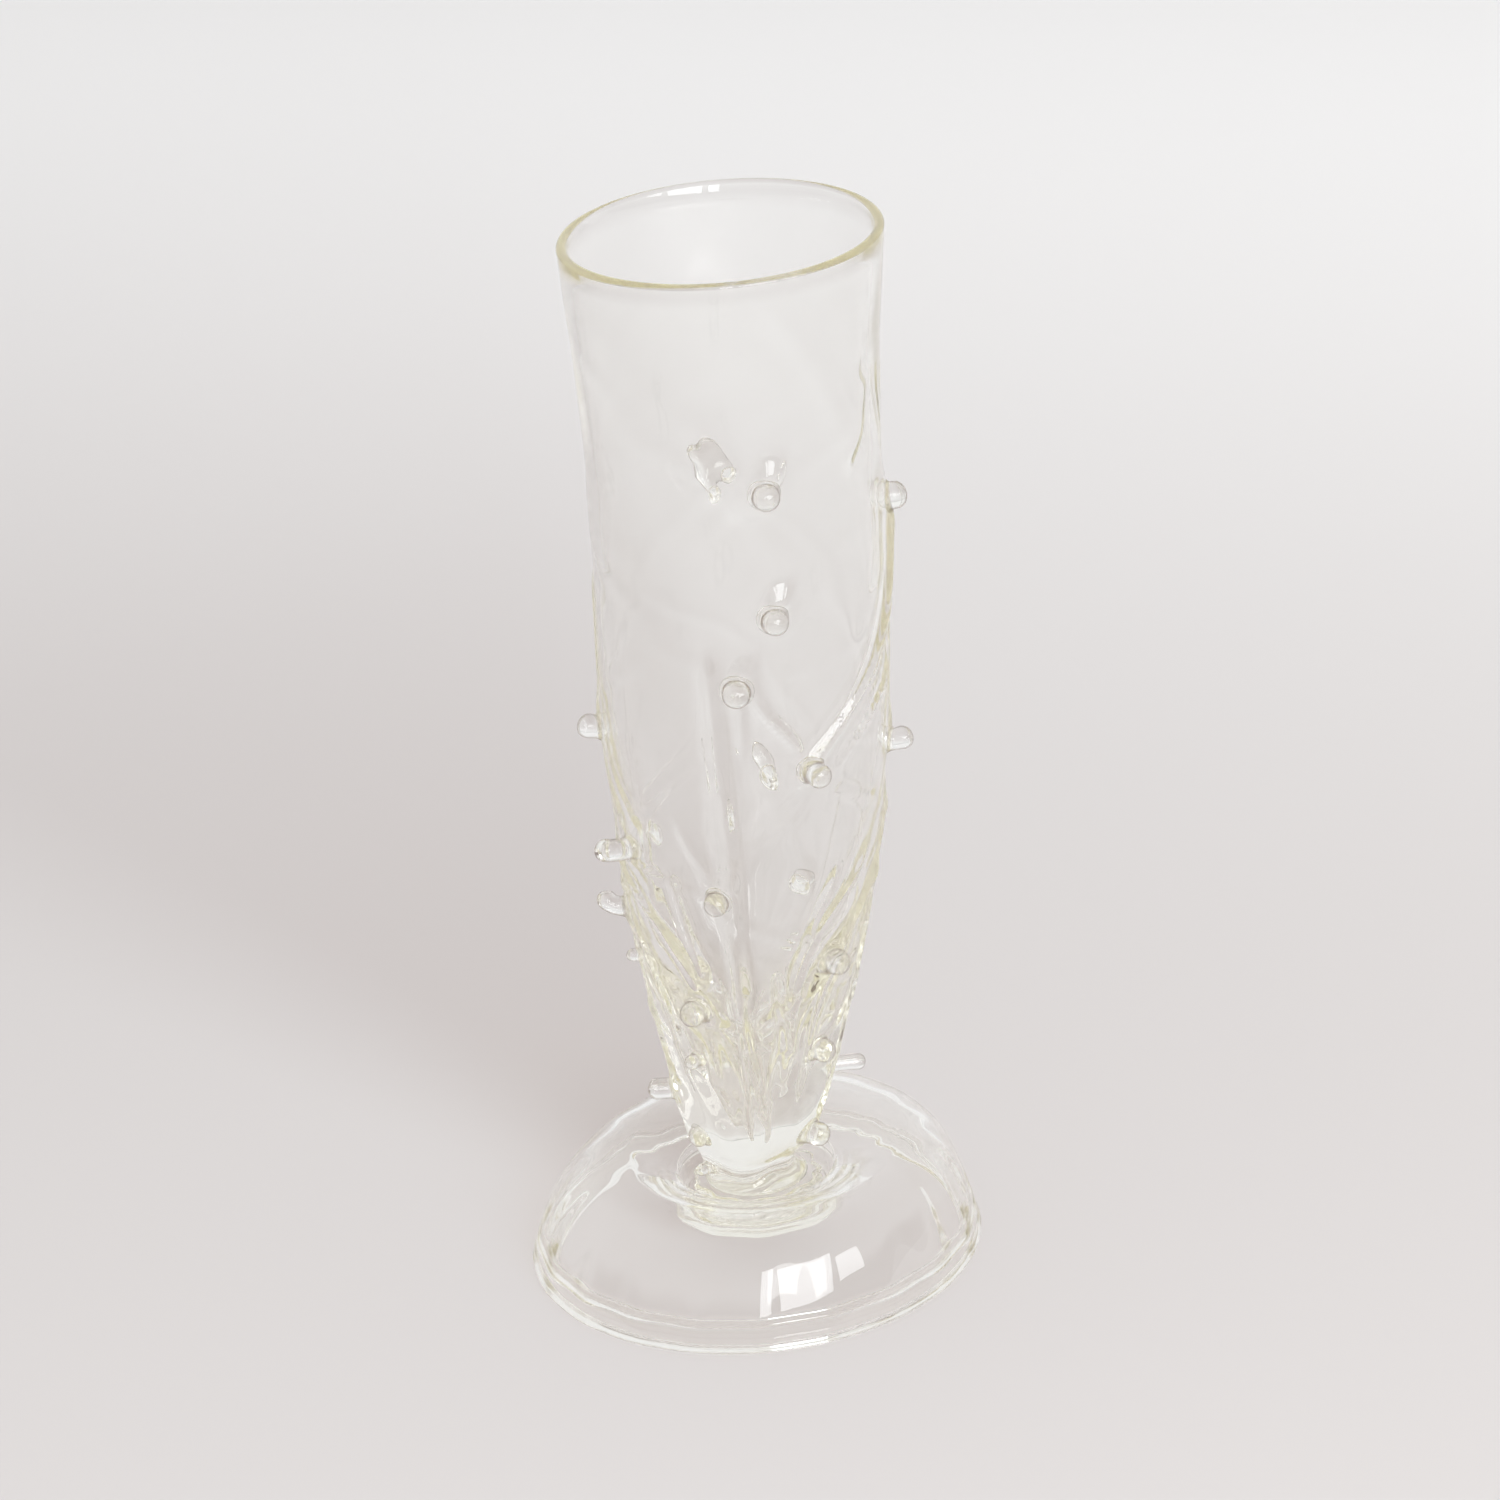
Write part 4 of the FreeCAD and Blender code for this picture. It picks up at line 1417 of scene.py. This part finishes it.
@dataclass
class KnobSet:
    """The knobs on the bowl, each drawn from one node tree."""

    sizes: GlassSizes
    ribs: RibNetwork
    around: int = 48
    along: int = 90
    softening: int = 9
    longest_cap_share: float = 0.8
    knobs: tuple[Knob, ...] = KNOBS
    root_shares: tuple[float, ...] = (0.0, 0.7, 1.08, 1.13)
    root_edge_share: float = 1.16
    shape: tuple[tuple[float, float, float], ...] = (
        (1.08, 0.0, 0.05), (0.98, 0.0, 0.15), (0.92, 0.0, 0.30), (0.90, 0.0, 0.55),
        (0.93, 1.0, -1.05), (0.95, 1.0, -0.85), (0.91, 1.0, -0.60), (0.80, 1.0, -0.38),
        (0.62, 1.0, -0.19), (0.34, 1.0, -0.05), (0.00, 1.0, 0.00),
    )

    def profile(self, knob: Knob) -> list[Point]:
        """List a knob's profile in shares of its radius and length.

        Each row of the shape is a radius, the end of the knob that it is
        counted from, and how many lengths of the round cap it is away from it.

        Args:
            knob: The knob, whose length gives how high its round end starts.

        Returns:
            Radius share, nothing, length share and a plain 1 for each point.
        """
        length = self.sizes.knob_length * knob.length
        sink = self.sizes.fused_overlap / length
        cap = min(self.longest_cap_share, self.sizes.knob_radius * knob.size / length)
        shape = [(radius, end + caps * cap) for radius, end, caps in self.shape]
        table = np.array(sorted([(self.root_edge_share, -sink), *shape], key=lambda row: row[1]))
        run = np.concatenate([[0.0], np.cumsum(np.hypot(*np.diff(table, axis=0).T))])
        fine = np.linspace(0.0, run[-1], self.along)
        kernel = np.ones(self.softening) / self.softening
        reach = self.softening // 2
        points = [(share, 0.0, -sink, 1.0) for share in self.root_shares]
        radius, height = (np.interp(fine, run, column) for column in table.T)
        for line in (radius, height):
            line[reach:-reach] = np.convolve(line, kernel, mode="valid")
        points += [(r, 0.0, h, 1.0) for r, h in zip(radius.tolist(), height.tolist())]
        return points

    def directions(self, knob: Knob) -> tuple[Vector, Vector]:
        """Return the way out of the bowl and the way the knob leans.

        Args:
            knob: The knob.

        Returns:
            A unit vector outwards, and what turns it into the way to the tip.
        """
        turn = math.radians(knob.angle)
        outward = Vector((math.cos(turn), math.sin(turn), 0.0))
        turn = math.radians(knob.angle + knob.lean_round)
        rise = math.radians(knob.lean_up)
        way = Vector((math.cos(rise) * math.cos(turn), math.cos(rise) * math.sin(turn),
                      math.sin(rise)))
        return outward, way - outward

    def base(self, knob: Knob) -> Vector:
        """Return the point on the bowl where a knob stands, in millimetres.

        Args:
            knob: The knob.

        Returns:
            The point, on the ribs where there are any.
        """
        share = np.array([knob.share])
        plain = self.ribs.line.radius(share)
        radius = plain + self.ribs.relief(np.array([knob.angle]), share, plain)
        outward, _ = self.directions(knob)
        centre = float(self.ribs.line.centre(share)[0])
        height = knob.share * self.sizes.total_height
        return outward * float(radius[0]) + Vector((centre, 0.0, height))

    def build(self, tree: KnobTree, bowl: bpy.types.Object,
              glass: bpy.types.Material) -> dict[str, bpy.types.Object]:
        """Build and dress every knob.

        Args:
            tree: The tree that draws a knob.
            bowl: The finished bowl, which the roots follow.
            glass: The knobs' material.

        Returns:
            Each piece by the name of the node it stands for.
        """
        made: dict[str, bpy.types.Object] = {}
        for knob in self.knobs:
            outward, lean = self.directions(knob)
            made[knob.name] = tree.draw(
                "drawn_" + knob.name, self.profile(knob), self.around, glass, {
                    "Bowl": bowl, "Base": tuple(self.base(knob) * MM),
                    "Outward": tuple(outward), "Lean": tuple(lean),
                    "Radius": self.sizes.knob_radius * knob.size * MM,
                    "Length": self.sizes.knob_length * knob.length * MM})
        return made


class LampRole(Enum):
    """What a lamp of the studio is for."""

    KEY = "lights the floor"
    PANE = "shows as a reflection"
    GLINT = "shows through the glass"


@dataclass(frozen=True)
class Lamp:
    """One soft lamp of the studio."""

    name: str
    role: LampRole
    spot: tuple[float, float, float]
    width: float
    height: float
    power: float
    target: tuple[float, float, float] = (0.0, 0.0, 0.05)
    colour: tuple[float, float, float] = (0.94, 0.98, 1.0)

    def build(self) -> bpy.types.Object:
        """Put the lamp in the scene, seen only as its role asks.

        Returns:
            The lamp's object.
        """
        light = bpy.data.lights.new(self.name, "AREA")
        light.shape = "RECTANGLE"
        light.size = self.width
        light.size_y = self.height
        light.energy = self.power
        light.color = self.colour
        lamp = place(self.name, light)
        lamp.location = self.spot
        aim = Vector(self.target) - Vector(self.spot)
        lamp.rotation_euler = aim.to_track_quat("-Z", "Y").to_euler()
        lamp.visible_diffuse = self.role is LampRole.KEY
        lamp.visible_glossy = self.role is LampRole.PANE
        lamp.visible_transmission = self.role is LampRole.GLINT
        return lamp


@dataclass
class Studio:
    """The pale floor, the soft light and the camera of the photograph."""

    floor_reach: float = 6.0
    floor_roughness: float = 0.9
    floor_gloss: float = 0.1
    floor_colour: tuple[float, float, float] = (0.652, 0.638, 0.635)
    # painted light: the floor turns from floor_colour to this lighter colour away from the camera
    # and to the right, standing in for how the lamps fall on it
    painted_light_far_colour: tuple[float, float, float] = (0.920, 0.934, 0.940)
    mottle_colour: tuple[float, float, float] = (0.85, 0.83, 0.83)
    mottle_scale: float = 4.0
    mottle_share: float = 0.06
    painted_light_from: float = 0.08
    painted_light_to: float = 0.80
    painted_light_slant: float = 0.42
    sky_power: float = 1.70
    sky_spread: float = 130.0
    sky_spot: tuple[float, float, float] = (0.0, 0.0, 2.0)
    sky_colour: tuple[float, float, float] = (1.03, 0.99, 0.975)
    floor_drop: float = 0.00025
    bounces: int = 96
    world_colour: tuple[float, float, float] = (1.0, 1.0, 1.0)
    room_colour: tuple[float, float, float] = (0.17, 0.11, 0.085)
    room_from: float = 0.0
    room_to: float = 0.45
    room_top: float = 0.36
    room_sides: float = 0.30
    world_strength: float = 0.88
    focal_pixels: float = 5300.0
    frame_pixels: float = 1500.0
    sensor: float = 36.0
    distance: float = 0.958
    clip_start: float = 0.01
    pitch: float = 24.34
    roll: float = -5.03
    aim: tuple[float, float, float] = (0.00673, 0.0, 0.1011)
    lamps: tuple[Lamp, ...] = (
        Lamp("window_light", LampRole.KEY, (1.16, -2.87, 1.30), 2.00, 1.50, 188.0,
             colour=(1.0, 1.0, 1.0)),
        Lamp("window_left", LampRole.PANE, (0.09, -4.18, 1.72), 0.62, 2.00, 25.0),
        Lamp("window_middle", LampRole.PANE, (1.66, -3.84, 1.68), 2.05, 1.90, 78.0),
        Lamp("window_right", LampRole.PANE, (3.07, -2.86, 1.45), 0.85, 1.20, 20.0),
        Lamp("window_glint", LampRole.GLINT, (1.55, -3.60, 1.75), 1.70, 1.60, 38.0),
    )

    def camera(self) -> bpy.types.Object:
        """Place the camera where the photograph was taken from.

        Returns:
            The scene's camera.
        """
        pitch = math.radians(self.pitch)
        roll = math.radians(self.roll)
        forward = Vector((0.0, math.cos(pitch), -math.sin(pitch)))
        level = Vector((1.0, 0.0, 0.0))
        up = level.cross(forward)
        right = level * math.cos(roll) + up * math.sin(roll)
        top = right.cross(forward)
        data = bpy.data.cameras.new("camera")
        data.sensor_width = self.sensor
        data.sensor_fit = "HORIZONTAL"
        data.lens = self.focal_pixels / self.frame_pixels * self.sensor
        data.clip_start = self.clip_start
        made = place("camera", data)
        turn = Matrix((right, top, -forward)).transposed().to_4x4()
        made.matrix_world = Matrix.Translation(Vector(self.aim) - forward * self.distance) @ turn
        bpy.context.scene.camera = made
        return made

    def floor(self) -> bpy.types.Object:
        """Make the wide pale floor with a faint mottle and painted light: its colour runs lighter
        away from the camera and to the right.

        Returns:
            The floor's object.
        """
        mesh = bpy.data.meshes.new("floor")
        corners = ((-1.0, -1.0), (1.0, -1.0), (1.0, 1.0), (-1.0, 1.0))
        mesh.from_pydata(
            [(x * self.floor_reach, y * self.floor_reach, -self.floor_drop) for x, y in corners],
            [], [(0, 1, 2, 3)])
        made = bpy.data.materials.new("pale_floor")
        made.use_nodes = True
        graph = Graph(made.node_tree)
        coords = graph.node("ShaderNodeTexCoord").outputs["Object"]
        axes = graph.split(coords)
        # painted light: the colour gets lighter away from the camera (+Y) and to the right (+X)
        slant = graph.times(axes[0], self.painted_light_slant)
        far = graph.ramp(graph.math("ADD", axes[1], slant), self.painted_light_from, self.painted_light_to)
        mottle = graph.node("ShaderNodeTexNoise", {"Scale": self.mottle_scale, "Vector": coords})
        mottled_painted_light = graph.blend(
            graph.times(mottle.outputs["Fac"], self.mottle_share),
            graph.blend(far, self.floor_colour, self.painted_light_far_colour), self.mottle_colour, "MULTIPLY")
        shader = made.node_tree.nodes["Principled BSDF"]
        graph.feed(shader.inputs["Base Color"], mottled_painted_light)
        graph.feed(shader.inputs["Roughness"], self.floor_roughness)
        graph.feed(shader.inputs["Specular IOR Level"], self.floor_gloss)
        mesh.materials.append(made)
        piece = place("floor", mesh)
        return piece

    def world(self) -> None:
        """Surround the glass with a pale room, dim low down in front and beside it."""
        world = bpy.data.worlds.new("soft_room")
        world.use_nodes = True
        graph = Graph(world.node_tree)
        axes = graph.split(graph.node("ShaderNodeTexCoord").outputs["Generated"])
        sides = graph.times(graph.math("ABSOLUTE", axes[0]), self.room_sides)
        front = graph.ramp(graph.math("SUBTRACT", sides, axes[1]), self.room_from, self.room_to)
        low = graph.ramp(axes[2], self.room_top, 0.5 * self.room_top)
        rays = graph.node("ShaderNodeLightPath")
        unseen = graph.math("SUBTRACT", 1.0, rays.outputs["Is Camera Ray"])
        dim = graph.times(graph.times(front, low), unseen)
        background = world.node_tree.nodes["Background"]
        colour = graph.blend(dim, self.world_colour, self.room_colour)
        graph.feed(background.inputs["Color"], colour)
        graph.feed(background.inputs["Strength"], self.world_strength)
        bpy.context.scene.world = world
        world.cycles_visibility.diffuse = False

    def sky(self) -> bpy.types.Object:
        """Light the floor evenly from above, unseen in the glass.

        Returns:
            The light's object.
        """
        light = bpy.data.lights.new("soft_sky", "SUN")
        light.energy = self.sky_power
        light.angle = math.radians(self.sky_spread)
        light.color = self.sky_colour
        light.cycles.use_multiple_importance_sampling = False
        made = place("soft_sky", light)
        made.location = self.sky_spot
        made.visible_glossy = False
        made.visible_transmission = False
        return made

    def build(self) -> None:
        """Set up the whole studio."""
        self.camera()
        self.floor()
        self.world()
        self.sky()
        for lamp in self.lamps:
            lamp.build()
        scene = bpy.context.scene
        scene.view_settings.view_transform = "Standard"
        scene.cycles.max_bounces = self.bounces
        scene.cycles.glossy_bounces = self.bounces
        scene.cycles.transmission_bounces = self.bounces
        scene.cycles.caustics_reflective = False
        scene.cycles.caustics_refractive = False


@dataclass
class FluteGlass:
    """The whole glass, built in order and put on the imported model."""

    sizes: GlassSizes = field(default_factory=GlassSizes)
    foot_shadow: tuple[float, float, float] = (0.98, 0.973, 0.97)
    # how strongly the knobs get painted shade towards their edges as seen
    knob_painted_edge_shade: float = 0.9

    def dress(self, piece: bpy.types.Object, node: str) -> None:
        """Let a finished piece stand for its node and report it.

        Args:
            piece: The finished piece.
            node: The node that it stands for.
        """
        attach(piece, "root")
        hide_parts(node)
        triangles = sum(len(face.vertices) - 2 for face in piece.data.polygons)
        LOG.info("%s: %d triangles", piece.name, triangles)

    def build(self) -> None:
        """Build every piece of the glass."""
        surface = BlownSurface().group()
        glass = {made.slot: made.material(surface) for made in (
            ClearGlass(Finish.BOWL), ClearGlass(Finish.COLLAR),
            ClearGlass(Finish.FOOT, shadow_tint=self.foot_shadow),
            ClearGlass(Finish.KNOB, painted_edge_shade_weight=self.knob_painted_edge_shade))}
        line = BowlLine(self.sizes)
        ribs = RibNetwork(line)
        lathe = LatheTree()
        bowl = BlownBowl(self.sizes, ribs, Mounds(self.sizes)).build(glass[Finish.BOWL])
        knobs = KnobSet(self.sizes, ribs).build(KnobTree(), bowl, glass[Finish.KNOB])
        self.dress(bowl, "bowl")
        collar = LobedCollar(self.sizes, line).build(lathe, glass[Finish.COLLAR])
        self.dress(collar, "collar")
        foot = DomedFoot(self.sizes, line).build(lathe, glass[Finish.FOOT])
        self.dress(foot, "foot")
        for name, piece in knobs.items():
            self.dress(piece, name)


def main() -> None:
    """Build the glass and its studio."""
    logging.basicConfig(level=logging.INFO, format="%(name)s: %(message)s")
    FluteGlass().build()
    Studio().build()


if __name__ == "__main__":
    main()
